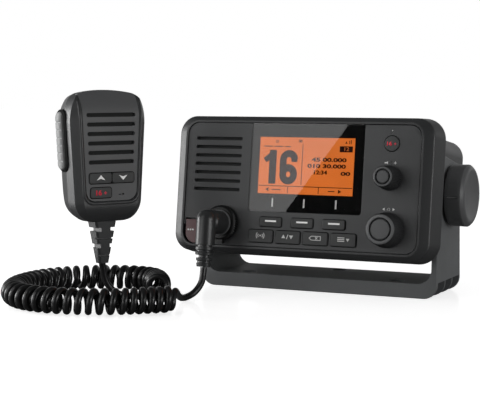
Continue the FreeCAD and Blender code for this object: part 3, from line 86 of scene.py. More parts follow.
def on_mic(out):
    """The same for the front of the microphone, out ahead of its parting line."""
    return MIC @ STAND_UP @ Matrix.Translation((0, 0, out * MM)) @ IN_MM


def turn_on_face(x, z):
    """Matrix that carries a piece turned round +Z to an axis of the face, +Z to the operator."""
    return on_face(0) @ Matrix.Translation((x, z, 0))


# ---- settings a user would change

def colour(name, description, code):
    return FloatVectorProperty(name=name, description=description, subtype="COLOR", size=3,
                               min=0, max=1, default=linear(code))


def length(name, description, millimetres):
    return FloatProperty(name=name, description=description, unit="LENGTH", subtype="DISTANCE",
                         default=millimetres * MM, precision=5)


def radiance(name, lamp, level):
    return FloatProperty(name=name, description=f"Radiance of the {lamp}", default=level)


class RadioSizes(bpy.types.PropertyGroup):
    """Sizes of the pieces that are made here."""

    cord_diameter: length("Cord", "Diameter of the microphone's cord", 4.0)
    coil_radius: length("Coil radius", "Middle of the cord from the middle of its turns", 5.75)
    coil_turns: FloatProperty(name="Coil turns", description="Turns of the curly run",
                              default=45 + 1 / 12)
    coil_height: length("Coil height", "Middle of the curly run above the shelf", 8.05)
    ink_thickness: length("Ink", "Thickness of the printed marks", 0.04)
    thread_pitch: length("Thread pitch", "Pitch of the antenna socket's thread", 1.06)


class RadioColours(bpy.types.PropertyGroup):
    """Colours of the finishes."""

    housing: colour("Housing", "Face and case of the radio", "#464748")
    bezel: colour("Bezel", "Surround of the face", "#38393a")
    bracket: colour("Bracket", "Bracket and its foot", "#707273")
    clamp: colour("Clamp knobs", "Hand knobs of the bracket", "#626364")
    key: colour("Keys", "Rubber keys", "#484949")
    knob: colour("Knobs", "Skirts of the two knobs", "#2a2b2c")
    knob_cap: colour("Knob caps", "Centres of the two knobs", "#5a5b5c")
    nylon: colour("Nylon", "Locking ring, socket and washers", "#101111")
    plug: colour("Plug", "Moulded plug and its grip", "#323334")
    cord: colour("Cord", "Curly cord", "#151516")
    legend: colour("Legends", "White printed marks", "#e8e8e6")
    alert: colour("Red mark", "Red printed marks", "#c8283c")
    door: colour("Distress door", "Translucent lid over the distress key", "#5c3336")
    screen: colour("Screen", "Light of the screen", "#e0701f")
    digits: colour("Digits", "Dark segments of the screen", "#40201a")
    mic_case: colour("Microphone case", "Shells of the microphone", "#3c3d3e")
    mic_panel: colour("Microphone panel", "Inset panel of the microphone", "#606162")
    talk_bar: colour("Talk bar", "Push-to-talk bar", "#b4b5b5")


class StudioSettings(bpy.types.PropertyGroup):
    """Camera and lamps."""

    lens: FloatProperty(name="Lens", default=104.89,
                        description="Focal length on a 36 mm wide frame, millimetres")
    window_light: radiance("Window box", "box mirrored in the window", 1.35)
    side_light: radiance("Side box", "box on the right", 5.0)
    left_light: radiance("Left box", "box on the left", 10.0)
    top_light: radiance("Top box", "box overhead", 0.05)
    front_light: radiance("Front strip", "low strip ahead", 1.7)
    room_light: FloatProperty(name="Room", description="Even light of the room", default=0.42)


# ---- materials

# Moulded skins: size of their flow clouds in millimetres, how much glossier handling makes them
# and how much rougher their pores do.
FLOW_SIZE, HANDLED, PORED = 22, 0.12, 0.10
# Screen: size of its dots in millimetres, how much they darken it and its brightness.
DOT, DOT_SHADE, SCREEN_GLOW = 0.5, 0.12, 0.92


def add_node(tree, kind, settings=None, inputs=None):
    """Adds a node, gives it its settings, and sets or links each of its inputs."""
    node = tree.nodes.new(kind)
    for name, value in (settings or {}).items():
        setattr(node, name, value)
    for name, value in (inputs or {}).items():
        if isinstance(value, bpy.types.NodeSocket):
            tree.links.new(value, node.inputs[name])
        else:
            node.inputs[name].default_value = value
    return node


def calculate(tree, operation, *values):
    """The output of a sum done on numbers and on other nodes' outputs."""
    return add_node(tree, "ShaderNodeMath", {"operation": operation},
                    dict(enumerate(values))).outputs[0]


def noise(tree, place, size, detail, **more):
    """Clouds about so many millimetres across."""
    clouds = {"Vector": place, "Scale": 1 / (size * MM), "Detail": detail, **more}
    return add_node(tree, "ShaderNodeTexNoise", inputs=clouds).outputs["Fac"]


def tinted(tree, share, shade, spread):
    """A colour that drifts between its darker and its lighter neighbour."""
    dark, light = [tuple(min(c * factor, 1) for c in shade) + (1,)
                   for factor in (1 - spread, 1 + spread)]
    return add_node(tree, "ShaderNodeMix", {"data_type": "RGBA"},
                    {"Factor": share, 6: dark, 7: light}).outputs[2]


def new_material(name):
    """The node tree of an empty material, and its object coordinates."""
    material = bpy.data.materials.new(name)
    material.use_nodes = True
    tree = material.node_tree
    tree.nodes.clear()
    return tree, add_node(tree, "ShaderNodeTexCoord").outputs["Object"]


def surface(tree, shader):
    """Ends a material's tree in a shader."""
    add_node(tree, "ShaderNodeOutputMaterial", inputs={"Surface": shader.outputs[0]})


def principled(tree, inputs):
    """Ends a material's tree in the general shader."""
    surface(tree, add_node(tree, "ShaderNodeBsdfPrincipled", inputs=inputs))


def moulded(name, shade, roughness, grain, depth, specular=0.5, spread=0.10, edge=0.3, coat=0.0):
    """Moulded plastic or rubber: an even colour with faint flow clouds, a fine grain left by the
    mould's texture, rounded edges that catch the light, and handled spots a little glossier."""
    tree, place = new_material(name)
    cloud = noise(tree, place, FLOW_SIZE, 3)
    pores = noise(tree, place, grain, 2, Roughness=0.6)
    handled = calculate(tree, "MULTIPLY_ADD", cloud, -HANDLED, roughness + HANDLED / 2)
    rounded = add_node(tree, "ShaderNodeBevel", {"samples": 4}, {"Radius": edge * MM})
    bump = add_node(tree, "ShaderNodeBump", inputs={
        "Strength": 1.0, "Distance": depth * MM, "Height": pores,
        "Normal": rounded.outputs["Normal"]})
    principled(tree, {
        "Base Color": tinted(tree, cloud, shade, spread),
        "Roughness": calculate(tree, "MULTIPLY_ADD", pores, PORED, handled),
        "Specular IOR Level": specular, "IOR": 1.5, "Coat Weight": coat, "Coat Roughness": 0.25,
        "Normal": bump.outputs["Normal"]})


def printed(name, shade, glow=0.0, sheen=0.5):
    """Pad-printed ink: a flat opaque film whose coverage varies a little, with a satin face."""
    tree, place = new_material(name)
    principled(tree, {
        "Base Color": tinted(tree, noise(tree, place, 0.8, 2), shade, 0.05), "Roughness": 0.5,
        "IOR": 1.5, "Specular IOR Level": sheen, "Emission Strength": glow,
        "Emission Color": (*shade, 1)})


def turned_metal(name, shade, roughness, line):
    """Turned or plated metal: bright, with fine rings from the cutting tool that stretch its
    highlights, and small changes of roughness where it has been touched."""
    tree, place = new_material(name)
    cloud = noise(tree, place, 6, 3)
    bump = add_node(tree, "ShaderNodeBump", inputs={
        "Strength": 0.4, "Distance": 0.004 * MM, "Height": noise(tree, place, line, 1)})
    principled(tree, {
        "Base Color": tinted(tree, cloud, shade, 0.06), "Metallic": 1.0,
        "Roughness": calculate(tree, "MULTIPLY_ADD", cloud, 0.15, roughness),
        "Normal": bump.outputs["Normal"]})


def clear_acrylic():
    """Cast acrylic window, polished: clear, with a sharp reflection and a faint smoke tint."""
    tree, place = new_material("acrylic_window_polished")
    smears = noise(tree, place, 9, 4)
    principled(tree, {
        "Base Color": linear("#f4f4f4") + (1,), "IOR": 1.49, "Transmission Weight": 1.0,
        "Roughness": calculate(tree, "MULTIPLY_ADD", smears, 0.008, 0.002)})


def lit_film(shade):
    """Backlit liquid crystal film: an even glow with the fine grid of its dots, drawn at 0.5 mm
    so that it shows."""
    tree, place = new_material("lcd_film_backlit")
    own = add_node(tree, "ShaderNodeMapping", {"vector_type": "TEXTURE"}, {
        "Vector": place, "Location": FACE.to_translation(), "Rotation": FACE.to_euler()})
    parts = add_node(tree, "ShaderNodeSeparateXYZ", inputs={0: own.outputs[0]})
    across, up = [
        calculate(tree, "SINE", calculate(tree, "MULTIPLY", parts.outputs[axis],
                                          2 * math.pi / (DOT * MM)))
        for axis in ("X", "Z")]
    grid = calculate(tree, "MAXIMUM", across, up)
    both = calculate(tree, "MULTIPLY_ADD", grid, DOT_SHADE, noise(tree, place, 18, 1))
    principled(tree, {
        "Base Color": linear("#2a1008") + (1,), "Roughness": 0.5,
        "Emission Color": tinted(tree, both, shade, 0.10), "Emission Strength": SCREEN_GLOW})


def make_materials(colours):
    """Every finish of the set: colour, roughness, and its grain's size and depth in millimetres."""
    # ABS, injection moulded in a spark-eroded tool: charcoal with a fine matt grain of 0.4 mm.
    moulded("abs_housing_matt", colours.housing, 0.38, 0.40, 0.012)
    moulded("abs_bezel_matt", colours.bezel, 0.34, 0.40, 0.010)
    moulded("abs_bracket_matt", colours.bracket, 0.50, 0.55, 0.020, specular=0.45, spread=0.14)
    moulded("abs_mic_panel_matt", colours.mic_panel, 0.42, 0.40, 0.014)
    # ABS from a smoother tool: satin, so that round shapes shade from light to dark.
    moulded("abs_clamp_satin", colours.clamp, 0.36, 0.5, 0.008)
    moulded("abs_mic_satin", colours.mic_case, 0.30, 0.45, 0.010)
    moulded("abs_mic_rim_satin", colours.mic_case, 0.26, 0.45, 0.006)
    moulded("abs_knob_ring_satin", linear("#6b6c6d"), 0.35, 0.35, 0.006, edge=0.15)
    moulded("abs_knob_cap_satin", colours.knob_cap, 0.42, 0.35, 0.008)
    # Silicone rubber keys, moulded and left bare: soft, slightly cloudy, no sharp highlight.
    moulded("silicone_key_satin", colours.key, 0.5, 0.3, 0.006, specular=0.45, edge=0.4)
    moulded("silicone_red_satin", linear("#a01418"), 0.5, 0.3, 0.006)
    moulded("silicone_talk_bar", colours.talk_bar, 0.6, 0.35, 0.010, edge=0.4)
    moulded("rubber_seat_matt", linear("#131414"), 0.6, 0.4, 0.010)
    # Black bead in the gap round the microphone's panel: painted shade.
    moulded("nitrile_seal_black", linear("#121313"), 0.6, 0.3, 0.02, specular=0.2)
    # Soft-touch elastomer over the knobs' sides: dark, it swallows most of the light.
    moulded("elastomer_grip", colours.knob, 0.48, 0.4, 0.012, edge=0.1)
    # Glass-filled nylon: hard, black and slightly greasy.
    moulded("nylon_ring", colours.nylon, 0.35, 0.5, 0.02, edge=0.1)
    moulded("nylon_black", colours.nylon, 0.4, 0.5, 0.010)
    # Polyurethane overmould of the plug: smooth and satin, so it takes long soft highlights.
    moulded("polyurethane_plug_satin", colours.plug, 0.30, 0.6, 0.004, specular=0.6)
    moulded("polyurethane_lip_gloss", linear("#6a6b6c"), 0.22, 0.6, 0.002)
    # Polyurethane jacket of the coiled cord: black, extruded, with a wet-looking shine.
    moulded("polyurethane_cord_gloss", colours.cord, 0.26, 0.5, 0.003, specular=0.6)
    # Polycarbonate lid, tinted and frosted: dull maroon that lets little through.
    moulded("polycarbonate_door", colours.door, 0.35, 0.5, 0.006, coat=0.3)
    # Closed-cell foam: dull black with open-looking pits of about 0.5 mm.
    moulded("foam_gasket", linear("#151515"), 0.9, 0.5, 0.12, specular=0.2)
    # Woven polyester cloth against spray: matt black, its threads drawn at 0.5 mm to show.
    moulded("polyester_cloth", linear("#343535"), 0.85, 0.5, 0.10, specular=0.2)
    # Solder resist on glass fibre board: green, glossy, over the weave's faint relief.
    moulded("board_solder_resist", linear("#1d5a36"), 0.3, 0.5, 0.010)
    # Moulded insulator of a coaxial socket: white, waxy and smooth.
    moulded("ptfe_white", linear("#e4e2dc"), 0.45, 0.5, 0.004)
    # Pressed and painted steel of a loudspeaker's basket.
    moulded("steel_painted_black", linear("#242424"), 0.4, 0.6, 0.004)
    turned_metal("steel_turned", linear("#b9bcbe"), 0.28, 0.10)
    turned_metal("brass_turned", linear("#d1b062"), 0.26, 0.10)
    turned_metal("nickel_plated", linear("#c9c6bf"), 0.18, 0.15)
    printed("ink_grey", linear("#8c8d8d"))
    printed("ink_white", colours.legend)
    # White ink that glows a little, though nothing lights it from behind: painted light.
    printed("ink_white_lit", colours.legend, glow=0.25)
    # Red ink, also glowing a little: painted light.
    printed("ink_red", colours.alert, glow=0.25)
    # Black ink for print, also laid in the gaps round the keys as painted shade.
    printed("ink_black", linear("#0b0c0c"), sheen=0.05)
    printed("ink_screen_dark", colours.digits, sheen=0.1)
    printed("ink_orange", colours.screen, glow=0.6)
    clear_acrylic()
    lit_film(colours.screen)


# ---- working on pieces

def leave_edit():
    bpy.ops.object.mode_set(mode="OBJECT")


def start_clean():
    """Leaves edit mode and deselects everything, because operators act on all that is selected."""
    if bpy.context.mode != "OBJECT":
        leave_edit()
    bpy.ops.object.select_all(action="DESELECT")


def pick(obj):
    """Makes one object the active and only selected one."""
    start_clean()
    obj.select_set(True)
    bpy.context.view_layer.objects.active = obj


def edit_all(obj):
    """Opens an object's mesh for editing with everything selected."""
    pick(obj)
    bpy.ops.object.mode_set(mode="EDIT")
    bpy.ops.mesh.select_all(action="SELECT")


def edit_only(obj, kind, test):
    """Opens an object's mesh for editing with the vertices or polygons selected that pass."""
    edit_all(obj)
    bpy.ops.mesh.select_all(action="DESELECT")
    leave_edit()
    for element in getattr(obj.data, kind):
        element.select = test(element)
    bpy.ops.object.mode_set(mode="EDIT")


def weld_and_close(gap):
    """Welds what lies within a gap in the open mesh, turns its faces outwards and closes it."""
    bpy.ops.mesh.select_all(action="SELECT")
    bpy.ops.mesh.remove_doubles(threshold=gap)
    bpy.ops.mesh.normals_make_consistent(inside=False)
    leave_edit()


def keep_place():
    """Moves the active object's own place, turn and size into its mesh."""
    bpy.ops.object.transform_apply(location=True, rotation=True, scale=True)
    return bpy.context.object


def named(obj, name):
    """Gives an object and its mesh their name."""
    obj.name = name
    obj.data.name = name
    return obj


def join(name, pieces):
    """Several meshes as one named piece."""
    start_clean()
    for piece in pieces:
        piece.select_set(True)
    bpy.context.view_layer.objects.active = pieces[0]
    if len(pieces) > 1:
        bpy.ops.object.join()
    return named(bpy.context.object, name)


def smooth_below(obj, degrees):
    """Shades a piece smooth across the edges that bend less than an angle."""
    pick(obj)
    bpy.ops.object.shade_smooth_by_angle(angle=math.radians(degrees))
    return obj


def settle(obj, matrix, material, body):
    """Puts a finished piece in its place, gives it its finish and lets it ride on a body."""
    obj.data.transform(matrix)
    obj.data.materials.clear()
    obj.data.materials.append(bpy.data.materials[material])
    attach(obj, body)
    return obj


# ---- flat marks, in millimetres

# Height of the font's figures at a text size of 1, and how far an arrowhead's barbs hang back.
FIGURE_HEIGHT, BARB = 0.73, 0.75


def plane(x, y, width, height, turn=0.0):
    """A flat rectangle round a point."""
    start_clean()
    bpy.ops.mesh.primitive_plane_add(size=1, location=(x, y, 0),
                                     rotation=(0, 0, math.radians(turn)))
    bpy.context.object.scale = (width, height, 1)
    return keep_place()


def polygon(corners, radius=1, x=0, y=0, wide=1, high=1, turn=0.0):
    """A flat regular polygon round a point, stretched by wide and high before its turn."""
    start_clean()
    bpy.ops.mesh.primitive_circle_add(vertices=corners, radius=radius, fill_type="NGON",
                                      location=(x, y, 0), rotation=(0, 0, math.radians(turn)))
    bpy.context.object.scale = (wide, high, 1)
    return keep_place()


def placed(obj, x, y, turn=0.0):
    """Turns a flat piece about its own middle and moves that to a point."""
    obj.rotation_euler = (0, 0, math.radians(turn))
    obj.location = (x, y, 0)
    return keep_place()


def rounded_corners(obj, radius, segments):
    """Rounds the corners of a flat piece and leaves it open for editing."""
    edit_all(obj)
    bpy.ops.mesh.bevel(offset=radius, segments=segments, affect="VERTICES")


def frame_of(width):
    """Turns the selected face of the open mesh into a frame of a given width, and closes it."""
    bpy.ops.mesh.inset(thickness=width, depth=0)
    bpy.ops.mesh.delete(type="FACE")
    leave_edit()


def bar(x, y, width, height, turn=0.0, corner=0.2):
    """A rounded bar."""
    made = plane(x, y, width, height, turn)
    rounded_corners(made, min(corner, width * 0.49, height * 0.49), 3)
    leave_edit()
    return made


def disc(x, y, radius):
    """A filled disc."""
    return polygon(20, radius, x, y)


def triangle(x, y, width, height, turn=0.0):
    """A triangle that points up before its turn."""
    return polygon(3, 1, x, y, width / math.sqrt(3), height / 1.5, turn)


def arrowhead(x, y, width, height, turn=0.0):
    """A broad arrowhead with a hollow base, pointing up before its turn: a diamond whose side
    corners are moved down by BARB and whose foot is moved up as far."""
    made = polygon(4)
    edit_only(made, "vertices", lambda vertex: abs(vertex.co.x) > 0.5)
    bpy.ops.transform.translate(value=(0, -BARB, 0))
    edit_only(made, "vertices", lambda vertex: vertex.co.y < -0.9)
    bpy.ops.transform.translate(value=(0, BARB, 0))
    leave_edit()
    made.scale = (width / 2, height / (1 + BARB), 1)
    return placed(made, x, y, turn)


def gap_line(left, right, bottom, top, corner, width):
    """A closed line round an opening: painted shade in the gap round a key."""
    made = plane((left + right) / 2, (bottom + top) / 2, right - left + width, top - bottom + width)
    rounded_corners(made, corner, 6)
    bpy.ops.mesh.select_all(action="SELECT")
    frame_of(width)
    return made


def ring(x, y, wide, high, width):
    """A closed oval stroke with half axes wide and high to its outside."""
    made = polygon(32, wide=wide, high=high)
    edit_all(made)
    frame_of(width)
    return placed(made, x, y)


def arc(x, y, radius, width, start, sweep, steps=20):
    """Part of a ring: one edge spun about its centre."""
    start_clean()
    bpy.ops.mesh.primitive_plane_add(size=width, location=(radius, 0, 0))
    made = keep_place()
    edit_only(made, "vertices", lambda vertex: vertex.co.y < 0)
    bpy.ops.mesh.delete(type="VERT")
    bpy.ops.mesh.select_all(action="SELECT")
    bpy.ops.transform.translate(value=(0, -width / 2, 0))
    bpy.ops.mesh.spin(steps=steps, angle=math.radians(-sweep), center=(0, 0, 0), axis=(0, 0, 1))
    weld_and_close(0.001)
    return placed(made, x, y, start)


def number(text, x, y, height, squeeze=1.0, weight=0.0):
    """Plain figures, centred on a point; height is that of a figure."""
    start_clean()
    bpy.ops.object.text_add(location=(x, y, 0))
    made = bpy.context.object
    settings = {"body": text, "size": height / FIGURE_HEIGHT, "align_x": "CENTER",
                "align_y": "CENTER", "offset": weight, "resolution_u": 4}
    for name, value in settings.items():
        setattr(made.data, name, value)
    made.scale = (squeeze, 1, 1)
    bpy.ops.object.convert(target="MESH")
    made = keep_place()
    edit_all(made)
    weld_and_close(0.0005)
    return made


def mark(name, pieces, matrix, material, body, thickness):
    """Flat pieces as one printed mark of the ink's thickness, laid on what carries it."""
    made = join(name, pieces)
    edit_all(made)
    bpy.ops.mesh.normals_make_consistent(inside=False)
    leave_edit()
    if sum(face.normal.z * face.area for face in made.data.polygons) < 0:
        edit_all(made)
        bpy.ops.mesh.flip_normals()
        leave_edit()
    pick(made)
    solid = made.modifiers.new("solidify", "SOLIDIFY")
    solid.thickness, solid.offset = thickness / MM, 1.0
    bpy.ops.object.modifier_apply(modifier=solid.name)
    return settle(made, matrix, material, body)


# ---- turned pieces, in millimetres

def lathe(name, points, steps=48):
    """A turned piece from its profile, (radius, height), spun round +Z."""
    start_clean()
    bpy.ops.mesh.primitive_plane_add(size=0.01, location=(points[0][0], 0, points[0][1]))
    made = keep_place()
    edit_all(made)
    bpy.ops.mesh.merge(type="CENTER")
    for before, after in zip(points, points[1:]):
        step = (after[0] - before[0], 0, after[1] - before[1])
        bpy.ops.mesh.extrude_vertices_move(TRANSFORM_OT_translate={"value": step})
    bpy.ops.mesh.select_all(action="SELECT")
    bpy.ops.mesh.spin(steps=steps, angle=math.radians(360), center=(0, 0, 0), axis=(0, 0, 1))
    weld_and_close(0.002)
    return smooth_below(named(made, name), 35)


def ribbed(name, points, grip, ribs, depth):
    """A turned ring from its closed profile, with ribs of a given depth on the grip, which is
    where it lies between two heights and beyond a radius."""
    low, high, beyond = grip
    start_clean()
    bpy.ops.mesh.primitive_circle_add(vertices=2 * ribs, radius=points[0][0],
                                      location=(0, 0, points[0][1]))
    made = keep_place()
    edit_all(made)
    for before, after in zip(points, points[1:]):
        rise = (0, 0, after[1] - before[1])
        bpy.ops.mesh.extrude_region_move(TRANSFORM_OT_translate={"value": rise})
        growth = after[0] / before[0]
        bpy.ops.transform.resize(value=(growth, growth, 1), center_override=(0, 0, 0))
    leave_edit()
    if len(made.data.vertices) != 2 * ribs * len(points):
        raise RuntimeError(f"{name} has {len(made.data.vertices)} vertices")
    for vertex in made.data.vertices:
        vertex.select = (vertex.index % 2 == 1 and low <= vertex.co.z <= high
                         and vertex.co.xy.length > beyond)
    # The edges of the last ring are still selected, so it shrinks with the ribs: its seam with
    # the first ring, out of sight in the bore, stays open.
    bpy.ops.object.mode_set(mode="EDIT")
    shrink = 1 - depth / beyond
    bpy.ops.transform.resize(value=(shrink, shrink, 1), center_override=(0, 0, 0))
    weld_and_close(0.003)
    return smooth_below(named(made, name), 30)


# ---- cord

LEAD_ROUTE = [
    (-48.56, -79.1, 19.05), (-48.6, -79.8, 14.1), (-49.4, -80.6, 9.2), (-52.0, -84.0, 4.2),
    (-54.4, -89.0, 2.15), (-54.6, -95.0, 2.3), (-53.0, -101.0, 3.8), (-50.0, -109.0, 6.3),
    (-46.2, -117.5, 9.0), (-42.9, -125.0, 11.3), (-40.3, -130.8, 11.9), (-40.2, -133.6, 8.05),
]
COIL_ROUTE = [
    (-40.2, -133.6), (-50.4, -144.2), (-60.5, -153.5), (-76.0, -162.0), (-96.5, -167.6),
    (-117.5, -164.5), (-133.5, -153.5), (-143.2, -136.0), (-146.7, -115.0), (-144.3, -97.0),
    (-137.0, -83.0), (-124.5, -72.5), (-108.0, -65.5), (-92.0, -66.5), (-79.8, -76.5),
    (-71.7, -93.0),
]
MIC_ROUTE = [
    (-71.7, -93.0, 2.3), (-77.5, -97.8, 2.15), (-84.9, -102.1, 2.3), (-90.2, -108.0, 4.0),
    (-93.7, -112.7, 8.6), (-95.6, -115.6, 15.0), (-95.5, -117.2, 23.45),
]
# The cord comes in on the middle of its run, goes down and opens into the first turn, which has
# its full radius after so many degrees.
FIRST_ANGLE, OPENING = 150, (0, 7, 14, 22, 31, 42, 54, 68, 84)
FULL_RADIUS_AT = 60
TURN_STEP = 360 / 14
TIGHT_TURNS, TIGHT_PITCH = 6, 0.82


def spline_through(name, points, smoothness):
    """An open smooth line with the points as its control points."""
    curve = bpy.data.curves.new(name, "CURVE")
    curve.dimensions = "3D"
    spline = curve.splines.new("NURBS")
    spline.points.add(len(points) - 1)
    for knot, place in zip(spline.points, points):
        knot.co = (*place, 1)
    spline.order_u = 3
    spline.use_endpoint_u = True
    curve.resolution_u = smoothness
    spline.resolution_u = smoothness
    made = bpy.data.objects.new(name, curve)
    bpy.context.collection.objects.link(made)
    return made


def thicken(line, radius, roundness):
    """Gives a line its round body with closed ends."""
    line.data.bevel_depth = radius
    line.data.bevel_resolution = roundness
    line.data.use_fill_caps = True


def tube(line, name, radius, roundness):
    """A line as a smooth round mesh."""
    thicken(line, radius, roundness)
    pick(line)
    bpy.ops.object.convert(target="MESH")
    bpy.ops.object.shade_smooth()
    return named(bpy.context.object, name)


def read_line(line):
    """The places that a line without thickness runs through."""
    mesh = bpy.data.meshes.new_from_object(line)
    places = [vertex.co.copy() for vertex in mesh.vertices]
    bpy.data.meshes.remove(mesh)
    return places


def line_length(places):
    return sum((after - before).length for before, after in zip(places, places[1:]))


def cord_tube(name, points, diameter):
    """A lead as a mesh tube, and the line it follows."""
    line = spline_through(name, [Vector(point) * MM for point in points], 16)
    places = read_line(line)
    return tube(line, name, diameter / 2, 5), places


def share_passed(turns, all_turns):
    """How far along the run a number of turns reaches: its first turns lie closer together."""
    tight = TIGHT_TURNS * TIGHT_PITCH / all_turns
    if turns < TIGHT_TURNS:
        return turns * TIGHT_PITCH / all_turns
    return tight + (1 - tight) * (turns - TIGHT_TURNS) / (all_turns - TIGHT_TURNS)


def curly_points(sizes):
    """Helix round the curly run, from the middle of its end to the floor at its other end."""
    route = [Vector((x * MM, y * MM, sizes.coil_height)) for x, y in COIL_ROUTE]
    guide = spline_through("curly_guide", route, 40)
    places = read_line(guide)
    bpy.data.objects.remove(guide)
    total = line_length(places)
    full_turn = 360 * sizes.coil_turns
    count = round((full_turn - OPENING[-1]) / TURN_STEP)
    step = (full_turn - OPENING[-1]) / count
    angles = list(OPENING) + [OPENING[-1] + step * (index + 1) for index in range(count)]
    up = Vector((0, 0, 1))
    helix, segment, passed = [], 0, 0.0
    for turned in angles:
        along = total * share_passed(turned / 360, sizes.coil_turns)
        ahead = places[segment + 1] - places[segment]
        while segment < len(places) - 2 and passed + ahead.length < along:
            passed += ahead.length
            segment += 1
            ahead = places[segment + 1] - places[segment]
        ahead = ahead.normalized()
        middle = places[segment] + ahead * (along - passed)
        angle = math.radians(FIRST_ANGLE + turned)
        opened = math.radians(90 * min(turned / FULL_RADIUS_AT, 1))
        reach = sizes.coil_radius * math.sin(opened)
        helix.append(middle + (up * math.cos(angle) + up.cross(ahead) * math.sin(angle)) * reach)
    return helix


def jacket(piece, replaced):
    """Gives a piece of the cord its finish and hides the CAD node that it stands for."""
    piece.data.materials.append(bpy.data.materials["polyurethane_cord_gloss"])
    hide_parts(replaced)


class RADIO_OT_cord(bpy.types.Operator):
    """Makes the cord: the lead from the plug, the curly run and the lead to the microphone"""

    bl_idname = "radio.cord"
    bl_label = "Cord"

    def execute(self, context):
        sizes = context.scene.radio_sizes
        diameter = sizes.cord_diameter
        lead, path = cord_tube("plug_lead", LEAD_ROUTE, diameter)
        jacket(lead, "cord_lead")
        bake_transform(lead)
        curly = spline_through("curly_run", curly_points(sizes), 3)
        path = read_line(curly)
        thicken(curly, diameter / 2, 4)
        jacket(curly, "curly_cord")
        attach(curly, "bracket")
        tail, path = cord_tube("microphone_lead", MIC_ROUTE, diameter)
        jacket(tail, "mic_lead")
        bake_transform(tail)
        return {"FINISHED"}


# ---- finishes of the CAD's parts

FINISHES = {
    "abs_housing_matt": "front_panel rear_housing",
    "abs_bezel_matt": "front_bezel",
    "abs_bracket_matt": "mounting_bracket",
    "abs_clamp_satin": "clamp_knob_right clamp_knob_left",
    "abs_mic_satin": "mic_front_shell mic_rear_shell mic_hanger_stud",
    "abs_mic_panel_matt": "mic_panel",
    "silicone_key_satin": "soft_key_left soft_key_centre soft_key_right function_key_1 "
                          "function_key_2 function_key_3 function_key_4 power_key mic_up_key "
                          "mic_down_key mic_channel_key",
    "silicone_red_satin": "distress_key",
    "silicone_talk_bar": "ptt_bar",
    "rubber_seat_matt": "ptt_surround power_gland",
    "elastomer_grip": "volume_knob select_knob",
    "abs_knob_cap_satin": "volume_cap select_cap",
    "nylon_ring": "plug_ring",
    "nylon_black": "mic_socket clamp_washer_right clamp_washer_left volume_plunger "
                   "select_plunger rotary_encoders",
    "polyurethane_plug_satin": "plug_body plug_boot mic_boot",
    "polyurethane_cord_gloss": "cord_lead curly_cord mic_lead",
    "polycarbonate_door": "distress_door",
    "foam_gasket": "mount_gasket",
    "board_solder_resist": "circuit_board mic_board",
    "steel_painted_black": "speaker mic_speaker lcd_module",
    "steel_turned": "clamp_stud_right clamp_stud_left case_screws door_pin volume_shaft "
                    "select_shaft mic_screws",
    "brass_turned": "side_inserts",
    "nickel_plated": "antenna_connector",
    "acrylic_window_polished": "display_glass",
}
SMOOTH_ANGLE = math.radians(28)
WELD = 0.001 * MM


def smoothing_group():
    """Welds a part's faces and shades them smooth, with its real edges left sharp."""
    group = bpy.data.node_groups.new("smooth_moulding", "GeometryNodeTree")
    for way in ("INPUT", "OUTPUT"):
        group.interface.new_socket("Geometry", in_out=way, socket_type="NodeSocketGeometry")
    start = add_node(group, "NodeGroupInput")
    weld = add_node(group, "GeometryNodeMergeByDistance",
                    inputs={"Geometry": start.outputs[0], "Distance": WELD})
    smooth = add_node(group, "GeometryNodeSetShadeSmooth", {"domain": "FACE"},
                      {"Geometry": weld.outputs[0], "Shade Smooth": True})
    bend = add_node(group, "GeometryNodeInputMeshEdgeAngle")
    corner = add_node(group, "FunctionNodeCompare", {"operation": "GREATER_THAN"},
                      {0: bend.outputs["Unsigned Angle"], 1: SMOOTH_ANGLE})
    sharp = add_node(group, "GeometryNodeSetShadeSmooth", {"domain": "EDGE"},
                     {"Geometry": smooth.outputs[0], "Selection": corner.outputs[0],
                      "Shade Smooth": False})
    add_node(group, "NodeGroupOutput", inputs={0: sharp.outputs[0]})
    return group


class RADIO_OT_finishes(bpy.types.Operator):
    """Makes every material and gives each of the CAD's parts its own"""

    bl_idname = "radio.finishes"
    bl_label = "Finishes"

    def execute(self, context):
        make_materials(context.scene.radio_colours)
        group = smoothing_group()
        bare = set(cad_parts)
        for finish, names in FINISHES.items():
            for name in names.split():
                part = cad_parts[name]
                part.data.materials.clear()
                part.data.materials.append(bpy.data.materials[finish])
                bare.discard(name)
                if name != "display_glass":
                    part.modifiers.new("smooth", "NODES").node_group = group
        if bare:
            raise RuntimeError(f"no finish for {sorted(bare)}")
        return {"FINISHED"}


# ---- screen and window

GLASS_LEFT, GLASS_RIGHT, GLASS_BOTTOM, GLASS_TOP = -32.3, 40.4, -16.0, 37.25
SCREEN_LEFT, SCREEN_RIGHT, SCREEN_BOTTOM, SCREEN_TOP = -26.9, 34.1, -4.9, 29.1
# The print stops short of the window's edge, and the film reaches behind the print.
PRINT_SHORT, FILM_OVER = 0.6, 1.6
# Heights ahead of the face of the print, the figures and the film, and of ink laid on ink.
PRINT_OUT, FIGURES_OUT, FILM_OUT, OVERPRINT = -1.585, -1.64, -1.66, 0.015
FILM_THICKNESS = 0.01 * MM


def window_print():
    """Black print behind the window, with the opening that the screen shows through."""
    made = plane((GLASS_LEFT + GLASS_RIGHT) / 2, (GLASS_BOTTOM + GLASS_TOP) / 2,
                 GLASS_RIGHT - GLASS_LEFT - PRINT_SHORT, GLASS_TOP - GLASS_BOTTOM - PRINT_SHORT)
    for place, across in (((SCREEN_LEFT, 0, 0), (1, 0, 0)), ((SCREEN_RIGHT, 0, 0), (1, 0, 0)),
                          ((0, SCREEN_BOTTOM, 0), (0, 1, 0)), ((0, SCREEN_TOP, 0), (0, 1, 0))):
        edit_all(made)
        bpy.ops.mesh.bisect(plane_co=place, plane_no=across)
    edit_only(made, "polygons", lambda face: SCREEN_LEFT < face.center.x < SCREEN_RIGHT
              and SCREEN_BOTTOM < face.center.y < SCREEN_TOP)
    bpy.ops.mesh.delete(type="FACE")
    leave_edit()
    return [made]


